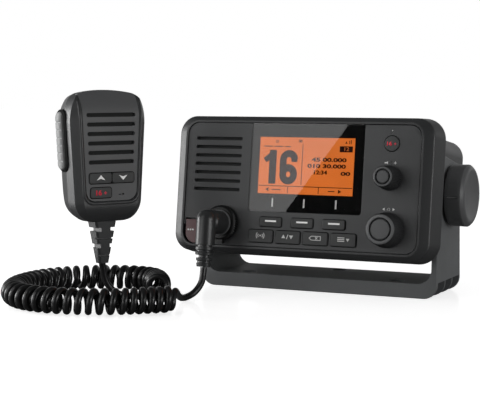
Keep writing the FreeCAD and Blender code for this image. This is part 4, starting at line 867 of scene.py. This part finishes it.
def screen_film():
    """The lit film, with its corners rounded."""
    return [bar((SCREEN_LEFT + SCREEN_RIGHT) / 2, (SCREEN_BOTTOM + SCREEN_TOP) / 2,
                SCREEN_RIGHT - SCREEN_LEFT + FILM_OVER, SCREEN_TOP - SCREEN_BOTTOM + FILM_OVER,
                corner=0.5)]


def big_sixteen():
    """The working channel in the screen's big figures, made of strokes."""
    return [bar(-18.0, 11.2, 4.7, 20.4, corner=0.6),
            bar(-21.3, 16.6, 5.0, 3.4, turn=38, corner=0.6), ring(-7.6, 6.9, 5.8, 6.1, 4.4),
            bar(-11.2, 13.0, 4.4, 9.0, corner=1.2), arc(-7.5, 15.6, 3.75, 4.3, 5, 170),
            bar(-4.0, 15.2, 3.9, 1.6, corner=0.4)]


def screen_figures():
    """What the screen shows: a channel number, rows of plain figures, rules and soft labels."""
    rules = [(1.05, 12.9, 0.45, 24.3), (3.4, -0.25, 60.4, 0.45, -0.2), (-7.4, -2.4, 0.45, 3.8),
             (12.4, -2.4, 0.45, 3.8), (30.6, 26.7, 0.5, 2.0), (31.6, 26.9, 0.5, 2.5),
             (-21.4, 23.6, 5.6, 0.6), (-14.6, 23.6, 5.6, 0.6), (-8.6, 23.5, 3.6, 0.6),
             (-15.0, -2.4, 6.0, 0.55), (20.6, -2.5, 4.2, 0.55)]
    rows = [("45 00.000", 18.2, 16.0, 2.3, 1.75), ("010 30.000", 16.8, 12.2, 2.3, 1.72),
            ("12:34", 12.8, 8.4, 2.3, 1.3), ("00", 29.0, 8.0, 2.2, 2.0)]
    return [
        *big_sixteen(), *[bar(*rule, corner=0.05) for rule in rules],
        *[number(*row, weight=0.13) for row in rows], bar(28.7, 22.6, 8.2, 3.5, corner=0.1),
        number("25", -15.7, 26.5, 1.5, weight=0.06), number("88", -0.6, 26.9, 1.7, weight=0.06),
        triangle(28.6, 26.4, 1.5, 1.5), triangle(-20.6, -2.4, 2.4, 2.1, turn=90),
        triangle(25.6, -2.5, 2.4, 2.1, turn=-90),
    ]


def reversed_figures():
    """Light figures on a dark label of the screen."""
    return [number("12", 28.7, 22.6, 2.3, squeeze=1.2)]


def window_ticks():
    """White ticks over the soft keys."""
    return [bar(x, -10.25, 1.0, 5.2, corner=0.15) for x in (-16.9, 3.6, 24.0)]


class RADIO_OT_display(bpy.types.Operator):
    """Makes the screen's lit film, its figures and the black print behind the window"""

    bl_idname = "radio.display"
    bl_label = "Display"

    def execute(self, context):
        for name, draw, out, material, slot in (
                ("window_print", window_print, PRINT_OUT, "ink_black", "window"),
                ("screen_film", screen_film, FILM_OUT, "lcd_film_backlit", "screen"),
                ("screen_figures", screen_figures, FIGURES_OUT, "ink_screen_dark", "screen"),
                ("screen_reversed_figures", reversed_figures, FIGURES_OUT + OVERPRINT,
                 "ink_orange", "screen"),
                # The ticks glow a little: painted light.
                ("window_ticks", window_ticks, PRINT_OUT + OVERPRINT, "ink_white_lit", "window")):
            mark(name, draw(), on_face(out), material, "radio", FILM_THICKNESS)
        return {"FINISHED"}


# ---- marks on the face

KEY_OUT, POWER_KEY_OUT, DOOR_OUT = 1.1, 0.7, 0.2
FUNCTION_X = [3.85 + 17.7 * (index - 1.5) for index in range(4)]
SOFT_X = [3.6 + 20.35 * (index - 1) for index in range(3)]
MARK_Z = -30.5
# Rows of keys: the middles of their openings, the openings' height up the face and half sizes.
KEY_ROWS = ((SOFT_X, -22.05, 7.35, 3.0), (FUNCTION_X, -30.8, 8.15, 3.95))
# Corner and width of the black lines painted as shade in the gaps round the keys.
GAP_CORNER, GAP_WIDTH = 1.6, 0.4
CLOTH_THICKNESS = 0.2 * MM


def call_mark(x, y):
    """A dot between two pairs of arcs, for a call sent out."""
    return [disc(x, y, 0.55)] + [arc(x, y, radius, 0.45, start, 80, 10)
                                 for radius in (1.5, 2.6) for start in (-40, 140)]


def power_level_mark(x, y):
    """An up and a down arrowhead either side of a stroke, for high and low power."""
    return [triangle(x - 2.5, y - 0.15, 2.6, 2.2), bar(x, y, 0.45, 2.9, turn=-20, corner=0.1),
            triangle(x + 2.5, y + 0.15, 2.6, 2.2, turn=180)]


def clear_mark(x, y):
    """A key shape with a cross in it."""
    strokes = [(0.9, 1.15, 5.6, 0.42), (0.9, -1.15, 5.6, 0.42), (3.6, 0, 0.42, 2.5),
               (-2.85, 0.6, 2.2, 0.42, 38), (-2.85, -0.6, 2.2, 0.42, -38),
               (1.0, 0, 1.9, 0.42, 45), (1.0, 0, 1.9, 0.42, -45)]
    return [bar(x + right, y + up, *rest, corner=0.1) for right, up, *rest in strokes]


def menu_mark(x, y):
    """Three lines and an arrowhead, for a list."""
    lines = [bar(x - 1.2, y + shift, 4.4, 0.5, corner=0.1) for shift in (-1.0, 0, 1.0)]
    return lines + [triangle(x + 3.0, y, 2.2, 1.9, turn=180)]


def power_mark(x, y, radius, width):
    """A broken ring with a stroke at its top."""
    return [arc(x, y, radius, width, 120, 300, 24),
            bar(x, y + radius * 0.75, width, radius, corner=0.1)]


def watch_mark(x, y, height):
    """The listening channel's number with a plus."""
    return [number("16", x - 0.62 * height, y, height, squeeze=1.15, weight=0.05 * height),
            bar(x + height, y, 0.62 * height, 0.17 * height, corner=0.05),
            bar(x + height, y, 0.17 * height, 0.62 * height, corner=0.05)]


def volume_label(x, y):
    """A loudspeaker with two arcs, and a plus."""
    return [bar(x - 2.6, y, 0.9, 0.8, corner=0.1), triangle(x - 1.6, y, 1.7, 1.5, turn=90),
            arc(x - 1.2, y, 1.6, 0.34, -42, 84, 8), arc(x - 1.2, y, 2.5, 0.34, -42, 84, 8),
            bar(x + 3.4, y, 1.6, 0.34, corner=0.1), bar(x + 3.4, y, 0.34, 1.6, corner=0.1)]


def select_label(x, y):
    """Two arrowheads either side of a ring."""
    return [triangle(x - 2.9, y, 1.7, 1.4, turn=90), arc(x, y, 0.75, 0.34, 0, 360, 16),
            triangle(x + 2.9, y, 1.7, 1.4, turn=-90)]


class RADIO_OT_face_marks(bpy.types.Operator):
    """Prints the marks of the face, paints shade into its key gaps, and lays the cloth behind its
    slots
    """

    bl_idname = "radio.face_marks"
    bl_label = "Face marks"

    def execute(self, context):
        ink = context.scene.radio_sizes.ink_thickness
        for name, x in zip(("soft_key_left", "soft_key_centre", "soft_key_right"), SOFT_X):
            # The dashes glow a little: painted light.
            mark(f"{name}_dash", [bar(x + 0.35, -21.55, 7.2, 1.0, corner=0.15)],
                 on_face(KEY_OUT), "ink_white_lit", name, ink)
        drawings = (call_mark, power_level_mark, clear_mark, menu_mark)
        for index, (x, draw) in enumerate(zip(FUNCTION_X, drawings), start=1):
            mark(f"function_key_{index}_mark", draw(x, MARK_Z), on_face(KEY_OUT), "ink_white",
                 f"function_key_{index}", ink)
        # The red mark glows a little: painted light.
        mark("power_key_mark", watch_mark(57.0, 26.2, 2.3), on_face(POWER_KEY_OUT), "ink_red",
             "power_key", ink)
        labels = [*power_mark(57.1, 33.4, 0.75, 0.34), *volume_label(56.4, 15.2),
                  *select_label(57.2, -11.7)]
        mark("face_labels", labels, on_face(0.0), "ink_white", "radio", ink)
        # Black lines in the key gaps: painted shade.
        gaps = [gap_line(x - wide, x + wide, z - high, z + high, GAP_CORNER, GAP_WIDTH)
                for middles, z, wide, high in KEY_ROWS for x in middles]
        mark("key_gaps", gaps, on_face(0.0), "ink_black", "radio", ink)
        mark("spray_cloth", [bar(-54.05, 12.1, 33.0, 35.0, corner=2.0)], on_face(-2.0),
             "polyester_cloth", "radio", CLOTH_THICKNESS)
        dots = [disc(x, -28.9, 0.62) for x in (-71.9, -70.3, -68.7)]
        mark("distress_door_dots", dots, on_face(DOOR_OUT), "ink_white", "distress_door",
             ink)
        return {"FINISHED"}


# ---- knobs and plug

KNOB_X, SOCKET_X, SOCKET_Z = 57.2, -48.56, -24.0
# Knob: its height on the face, reach, radius at its foot, at its front and of its cap, and ribs.
KNOBS = {"volume": (6.3, 13.9, 7.4, 5.5, 3.73, 44), "select": (-23.8, 13.5, 10.5, 8.4, 5.87, 60)}
KNOB_BORE, KNOB_FOOT_OUT, KNOB_RIB = 3.02, 1.1, 0.28
RING_RIBS, RING_RIB = 46, 0.45


class RADIO_OT_knobs(bpy.types.Operator):
    """Makes the knobs' ribbed sides and the light rings round their caps"""

    bl_idname = "radio.knobs"
    bl_label = "Knobs"

    def execute(self, context):
        for name, (z, reach, foot, front, cap, ribs) in KNOBS.items():
            place, body = turn_on_face(KNOB_X, z), f"{name}_control"
            side = [(KNOB_BORE, KNOB_FOOT_OUT), (foot - 0.4, KNOB_FOOT_OUT), (foot, 1.6),
                    (front + 0.72, reach - 1.5), (front + 0.3, reach - 0.95),
                    (front - 0.4, reach - 0.95), (cap + 0.8, reach - 1.7),
                    (cap + 0.02, reach - 1.8), (cap + 0.02, reach - 4), (KNOB_BORE, reach - 4),
                    (KNOB_BORE, KNOB_FOOT_OUT)]
            grip = (1.3, reach - 1.2, front + 0.5)
            skirt = ribbed(f"{name}_knob_side", side, grip, ribs, KNOB_RIB)
            settle(skirt, place, "elastomer_grip", body)
            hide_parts(f"{name}_knob")
            light_ring = [(cap + 0.82, reach - 1.6), (cap + 0.86, reach - 0.3),
                          (cap + 1.1, reach), (front - 0.4, reach), (front, reach - 0.2),
                          (front + 0.16, reach - 0.6), (front + 0.1, reach - 0.94),
                          (front - 0.5, reach - 0.96), (cap + 0.82, reach - 1.6)]
            settle(lathe(f"{name}_knob_ring", light_ring, 64), place, "abs_knob_ring_satin",
                   body)
        return {"FINISHED"}


class RADIO_OT_plug(bpy.types.Operator):
    """Makes the plug's ribbed locking ring with its thumb lobe, and the lip of its barrel"""

    bl_idname = "radio.plug"
    bl_label = "Plug"

    def execute(self, context):
        place = turn_on_face(SOCKET_X, SOCKET_Z)
        profile = [(7.3, 5.4), (9.3, 5.4), (10.1, 5.05), (10.8, 4.2), (10.8, 0.8), (7.3, 0.8),
                   (7.3, 5.4)]
        made = ribbed("locking_ring", profile, (0.7, 5.2, 9.9), RING_RIBS, RING_RIB)
        settle(made, place, "nylon_ring", "plug_ring")
        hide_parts("plug_ring")
        mark("locking_ring_lobe", [bar(0, -10.9, 4.8, 3.4, corner=0.7)],
             place @ Matrix.Translation((0, 0, 1.2)), "nylon_ring", "plug_ring", 3.4 * MM)
        lip = [(7.1, 5.45), (7.7, 5.45), (7.85, 5.6), (7.85, 5.95), (7.65, 6.15), (7.1, 6.3),
               (7.1, 5.45)]
        settle(lathe("barrel_lip", lip, 64), place, "polyurethane_lip_gloss", "radio")
        return {"FINISHED"}


# ---- microphone details

# The microphone's front ahead of its parting line; above FALL_START it falls back in a curve.
FRONT, FALL_START, FALL_RADIUS = -11.5, 84.0, 17.9
RIM_SIDE, RIM_WIDE, RIM_WIDE_AT, RIM_LOW, RIM_CORNER = 18.05, 20.15, 86, 35.8, 6.2
# The rim's bead, then a black bead inside it that paints the shade of the gap round the panel.
RIM_RADIUS, RIM_SUNK, GAP_SHADE_RADIUS, GAP_SHADE_SUNK, GAP_SHADE_INWARDS = 1.1, 0.30, 0.26, 0.12, 1.05
MIC_KEY_OUT, MIC_PANEL_OUT = 12.0, 11.5


def rim_points(inwards, sunk):
    """Line round the inset panel, so far inside the rim: one side, the foot and the other side."""
    corner_z = RIM_LOW + RIM_CORNER

    def at(x, z):
        fallen = max(z - FALL_START, 0)
        x -= math.copysign(inwards, x)
        return x, FRONT + sunk + fallen ** 2 / (2 * FALL_RADIUS), z + inwards * (z < corner_z)

    side = []
    for z in (94.0, 92.0, 90.0, 87.0, 84.0, 78.0, 70.0, 60.0, 50.0, corner_z):
        grown = min((z - RIM_LOW - RIM_CORNER) / (RIM_WIDE_AT - RIM_LOW - RIM_CORNER), 1)
        side.append((RIM_SIDE + (RIM_WIDE - RIM_SIDE) * grown, z))
    for angle in range(15, 91, 15):
        turn = math.radians(angle)
        side.append((RIM_SIDE - RIM_CORNER * (1 - math.cos(turn)),
                     RIM_LOW + RIM_CORNER * (1 - math.sin(turn))))
    left = [at(-x, z) for x, z in side]
    right = [at(x, z) for x, z in reversed(side)]
    return left + [at(-4, RIM_LOW), at(4, RIM_LOW)] + right


class RADIO_OT_microphone_marks(bpy.types.Operator):
    """Makes the microphone's marks, painted shade in the gaps round its keys and its panel, the
    cloth behind its slots, its rim
    """

    bl_idname = "radio.microphone_marks"
    bl_label = "Microphone marks"

    def execute(self, context):
        ink = context.scene.radio_sizes.ink_thickness
        for name, drawing, material, body in (
                # The arrowheads and the red mark glow a little: painted light.
                ("mic_up_mark", [arrowhead(-7.4, 50.35, 5.6, 2.9)], "ink_white_lit", "mic_up_key"),
                ("mic_down_mark", [arrowhead(7.4, 50.45, 5.6, 2.9, turn=180)], "ink_white_lit",
                 "mic_down_key"),
                ("mic_channel_mark", watch_mark(-7.4, 41.8, 2.9), "ink_red", "mic_channel_key")):
            mark(name, drawing, on_mic(MIC_KEY_OUT), material, body, ink)
        dash = [bar(5.4, 40.5, 1.7, 0.45, corner=0.1)]
        # Black lines round the keys and between them: painted shade in their gaps.
        gaps = [gap_line(-15.05, 15.05, 47.05, 53.35, 1.8, 0.42),
                bar(0, 50.2, 0.4, 6.1, corner=0.05),
                gap_line(-14.35, -0.15, 38.75, 45.05, 1.8, 0.42)]
        for name, drawing in (("mic_voice_dash", dash), ("mic_key_gaps", gaps)):
            mark(name, drawing, on_mic(MIC_PANEL_OUT), "ink_black", "microphone", ink)
        mark("mic_spray_cloth", [bar(0, 72.8, 35.0, 31.0, corner=2.0)],
             on_mic(MIC_PANEL_OUT - 1.9), "polyester_cloth", "microphone",
             CLOTH_THICKNESS)
        for name, points, radius, material, slot in (
                ("mic_panel_rim", rim_points(0.0, RIM_SUNK), RIM_RADIUS, "abs_mic_rim_satin",
                 "mic_case"),
                # This black bead stands for the shade in the gap round the panel: painted shade.
                ("mic_panel_seal", rim_points(GAP_SHADE_INWARDS, GAP_SHADE_SUNK), GAP_SHADE_RADIUS,
                 "nitrile_seal_black", "mic_panel")):
            bead = tube(spline_through(name, points, 4), name, radius, 3)
            settle(bead, MIC @ IN_MM, material, "microphone")
        return {"FINISHED"}


# ---- small metalwork

CASE_BACK, SOCKET_SEAT = 106.0, 2
ANTENNA_X, ANTENNA_Z = 41.0, 11.0
POINTER_X, POINTER_Y = 85.0, -18.12


def thread_profile(radius, root, low, high, pitch):
    """Ridges of a screw thread, near enough as rings at this size."""
    points, at = [(root, low)], low
    while at + pitch <= high:
        points += [(radius, at + pitch * 0.35), (radius, at + pitch * 0.5),
                   (root, at + pitch * 0.85), (root, at + pitch)]
        at += pitch
    return points + [(root, high)]


class RADIO_OT_metalwork(bpy.types.Operator):
    """Makes the threaded antenna socket and the pointers of the clamp knobs"""

    bl_idname = "radio.metalwork"
    bl_label = "Metalwork"

    def execute(self, context):
        sizes = context.scene.radio_sizes
        pin = [(0, 8), (2.2, 8), (2.2, 13.2), (1.6, 14), (1.3, 14), (1.3, 10.5), (0, 10.5)]
        thread = thread_profile(7.9, 7.45, 2.6, 16.4, sizes.thread_pitch / MM)
        shell = [(5.6, 6), (5.6, 16.4), (6.0, 17.0), (7.4, 17.0), *reversed(thread),
                 (7.45, 2.4), (8.6, 2.4), (9.0, 2.0), (9.0, 0.02), (6.0, 0.02), (6.0, -8),
                 (5.6, -8), (5.6, 6)]
        insulator = [(0, 7.99), (5.58, 7.99), (5.58, 6.0), (0, 6.0)]
        seat = Vector((ANTENNA_X, CASE_BACK + SOCKET_SEAT, ANTENNA_Z)) * MM
        away = (FACE @ Matrix.Translation(seat) @ Matrix.Rotation(math.radians(-90), 4, "X")
                @ IN_MM)
        body = settle(lathe("antenna_socket_shell", shell), away, "nickel_plated",
                      "radio")
        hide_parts("antenna_connector")
        settle(lathe("antenna_socket_pin", pin, 24), away, "brass_turned", "radio")
        settle(lathe("antenna_socket_insulator", insulator), away, "ptfe_white", "radio")
        for side, way in (("right", 1), ("left", -1)):
            middle = Matrix.Translation((way * POINTER_X * MM, POINTER_Y * MM, PIVOT_HEIGHT))
            mark(f"clamp_pointer_{side}", [bar(0, 0, 7.4, 0.6, corner=0.25)],
                 middle @ STAND_UP @ IN_MM, "ink_grey", f"clamp_{side}",
                 sizes.ink_thickness)
        return {"FINISHED"}


# ---- studio

CAMERA_PLACE = Vector((326.49, -813.41, 125.8)) * MM
CAMERA_AIM = Vector((-54.69, -16.21, 47.88)) * MM
# The box's straight edge is seen in the window between these two points of the face, and the box
# itself on the side of the third.
GLARE_TOP, GLARE_BOTTOM, GLARE_SIDE = (29.4, 36.8), (-8.1, -16.0), (-30, 35)
BOX_AWAY, BOX_WIDTH, BOX_HEIGHT = 0.9, 0.7, 0.9
# Lamp's name: its place, width and height in metres, and the setting with its radiance.
LAMPS = {
    "side_box": ((1.2, -0.38, 0.18), 0.6, 0.34, "side_light"),
    "left_box": ((-1.05, -0.28, 0.17), 0.45, 0.32, "left_light"),
    "front_strip": ((-0.45, -0.98, 0.10), 0.9, 0.18, "front_light"),
    "top_box": ((-0.1, -0.25, 1.3), 1.0, 1.0, "top_light"),
}
LAMPS_AIM = Vector((0, -40, 60)) * MM
# The room's brightness along the depth and the height of a direction: from, to, and at each.
DEPTH_FADE, HEIGHT_FADE = (-0.75, 0.25, 0.04, 1.0), (0.15, 0.6, 1.0, 0.12)
ROOM_SHARE, MIRRORED_ROOM = 0.5, 0.62
FLOOR_SIZE, FLOOR_WEAR = 12, 1000 / 3
FLOOR_WHITE, FLOOR_BOUNCE, FLOOR_POLISH, FLOOR_GLOW = 0.85, 0.22, 0.18, 0.74


def looking(place, target):
    """Matrix that puts a camera or a lamp at a place, turned to a target."""
    turn = (target - place).to_track_quat("-Z", "Y").to_matrix().to_4x4()
    return Matrix.Translation(place) @ turn


def soft_box(name, width, height, level, matrix):
    """A rectangular lamp of a given radiance, unseen by the camera."""
    lamp = bpy.data.lights.new(name, "AREA")
    lamp.shape = "RECTANGLE"
    lamp.size, lamp.size_y = width, height
    lamp.energy = level * math.pi * width * height
    made = bpy.data.objects.new(name, lamp)
    bpy.context.collection.objects.link(made)
    made.matrix_world = matrix
    made.visible_camera = False


def window_box(level):
    """The box that the window mirrors: its edge lies on the line that divides the reflection."""
    out = (FACE.to_3x3() @ Vector((0, -1, 0))).normalized()
    origin = FACE.to_translation()
    mirrored = CAMERA_PLACE - out * 2 * (CAMERA_PLACE - origin).dot(out)
    first, second, beside = [FACE @ Vector((x * MM, 0, z * MM))
                             for x, z in (GLARE_TOP, GLARE_BOTTOM, GLARE_SIDE)]
    reach = (first - mirrored).length + BOX_AWAY
    high, low, lit = [mirrored + (point - mirrored).normalized() * reach
                      for point in (first, second, beside)]
    edge = (high - low).normalized()
    middle = (high + low) / 2
    towards = lit - middle
    across = (towards - edge * towards.dot(edge)).normalized()
    back = (middle - origin).normalized()
    back = (back - across * back.dot(across) - edge * back.dot(edge)).normalized()
    turn = Matrix((across, back.cross(across), back)).transposed().to_4x4()
    centre = middle + across * BOX_WIDTH / 2
    soft_box("window_box", BOX_WIDTH, BOX_HEIGHT, level, Matrix.Translation(centre) @ turn)


def fade(tree, value, start, end, first, last):
    """A smooth change from first to last while a value goes from start to end."""
    return add_node(tree, "ShaderNodeMapRange", {"interpolation_type": "SMOOTHSTEP"},
                    {"Value": value, "From Min": start, "From Max": end, "To Min": first,
                     "To Max": last}).outputs[0]


def studio_world(strength):
    """A white backdrop for the camera. The set is lit by a room that is dark behind the camera
    and overhead: one share of its light follows that pattern and as much again is even. Mirrors
    see the pattern alone, at a level of its own."""
    world = bpy.data.worlds.new("studio")
    bpy.context.scene.world = world
    world.use_nodes = True
    tree = world.node_tree
    tree.nodes.clear()
    way = add_node(tree, "ShaderNodeTexCoord").outputs["Generated"]
    parts = add_node(tree, "ShaderNodeSeparateXYZ", inputs={0: way})
    room = calculate(tree, "MULTIPLY", fade(tree, parts.outputs["Y"], *DEPTH_FADE),
                     fade(tree, parts.outputs["Z"], *HEIGHT_FADE))
    path = add_node(tree, "ShaderNodeLightPath")
    mirror = calculate(tree, "MAXIMUM", path.outputs["Is Glossy Ray"],
                       path.outputs["Is Transmission Ray"])
    share = strength * ROOM_SHARE
    seen = add_node(tree, "ShaderNodeMix", {"data_type": "FLOAT"}, {
        0: mirror, 2: calculate(tree, "MULTIPLY_ADD", room, share, share),
        3: calculate(tree, "MULTIPLY", room, MIRRORED_ROOM)})
    level = calculate(tree, "MAXIMUM", seen.outputs[0], path.outputs["Is Camera Ray"])
    light = add_node(tree, "ShaderNodeBackground",
                     inputs={"Color": (1, 1, 1, 1), "Strength": level})
    add_node(tree, "ShaderNodeOutputWorld", inputs={"Surface": light.outputs[0]})


def floor_material():
    """Painted studio table: white and faintly polished, bright to the camera but for shadows."""
    tree, place = new_material("studio_floor_white")
    shine = calculate(tree, "MULTIPLY_ADD", noise(tree, place, FLOOR_WEAR, 2), 0.04, 0.10)
    seen = add_node(tree, "ShaderNodeLightPath").outputs["Is Camera Ray"]
    white = add_node(tree, "ShaderNodeMapRange",
                     inputs={"Value": seen, "To Min": FLOOR_BOUNCE, "To Max": FLOOR_WHITE})
    matt = add_node(tree, "ShaderNodeBsdfDiffuse", inputs={"Color": white.outputs["Result"]})
    polish = add_node(tree, "ShaderNodeBsdfGlossy",
                      inputs={"Color": (1, 1, 1, 1), "Roughness": shine})
    paint = add_node(tree, "ShaderNodeMixShader",
                     inputs={0: FLOOR_POLISH, 1: matt.outputs[0], 2: polish.outputs[0]})
    glow = add_node(tree, "ShaderNodeEmission", inputs={
        "Color": (1, 1, 1, 1), "Strength": calculate(tree, "MULTIPLY", seen, FLOOR_GLOW)})
    surface(tree, add_node(tree, "ShaderNodeAddShader",
                           inputs={0: paint.outputs[0], 1: glow.outputs[0]}))


class RADIO_OT_stage(bpy.types.Operator):
    """Sets up the camera, the white table and the soft lamps"""

    bl_idname = "radio.stage"
    bl_label = "Stage"

    def execute(self, context):
        studio = context.scene.radio_studio
        camera = bpy.data.cameras.new("camera")
        camera.lens, camera.sensor_width = studio.lens, 36
        holder = bpy.data.objects.new("camera", camera)
        context.collection.objects.link(holder)
        holder.matrix_world = looking(CAMERA_PLACE, CAMERA_AIM)
        context.scene.camera = holder
        window_box(studio.window_light)
        for name, (place, width, height, setting) in LAMPS.items():
            soft_box(name, width, height, getattr(studio, setting),
                     looking(Vector(place), LAMPS_AIM))
        studio_world(studio.room_light)
        floor_material()
        start_clean()
        bpy.ops.mesh.primitive_plane_add(size=FLOOR_SIZE, location=(0, 0, 0))
        floor = bpy.context.object
        floor.name = "studio_floor"
        floor.data.materials.append(bpy.data.materials["studio_floor_white"])
        context.scene.view_settings.view_transform = "Standard"
        return {"FINISHED"}


# ---- panel and running

OPERATORS = [RADIO_OT_stage, RADIO_OT_finishes, RADIO_OT_cord, RADIO_OT_display,
             RADIO_OT_face_marks, RADIO_OT_knobs, RADIO_OT_plug, RADIO_OT_microphone_marks,
             RADIO_OT_metalwork]
SETTINGS = {"radio_sizes": RadioSizes, "radio_colours": RadioColours,
            "radio_studio": StudioSettings}


class RADIO_PT_panel(bpy.types.Panel):
    """Lists the steps and the settings in the sidebar"""

    bl_label = "Marine Radio"
    bl_space_type = "VIEW_3D"
    bl_region_type = "UI"
    bl_category = "Marine Radio"

    def draw(self, context):
        for operator in OPERATORS:
            self.layout.operator(operator.bl_idname)
        for group, kind in SETTINGS.items():
            for name in kind.__annotations__:
                self.layout.prop(getattr(context.scene, group), name)


CLASSES = [*SETTINGS.values(), *OPERATORS, RADIO_PT_panel]


def register():
    for made in CLASSES:
        bpy.utils.register_class(made)
    for name, kind in SETTINGS.items():
        setattr(bpy.types.Scene, name, PointerProperty(type=kind))


def unregister():
    for name in SETTINGS:
        delattr(bpy.types.Scene, name)
    for made in reversed(CLASSES):
        bpy.utils.unregister_class(made)


def main():
    register()
    for operator in OPERATORS:
        module, name = operator.bl_idname.split(".")
        getattr(getattr(bpy.ops, module), name)()
    start_clean()


if __name__ == "__main__":
    main()
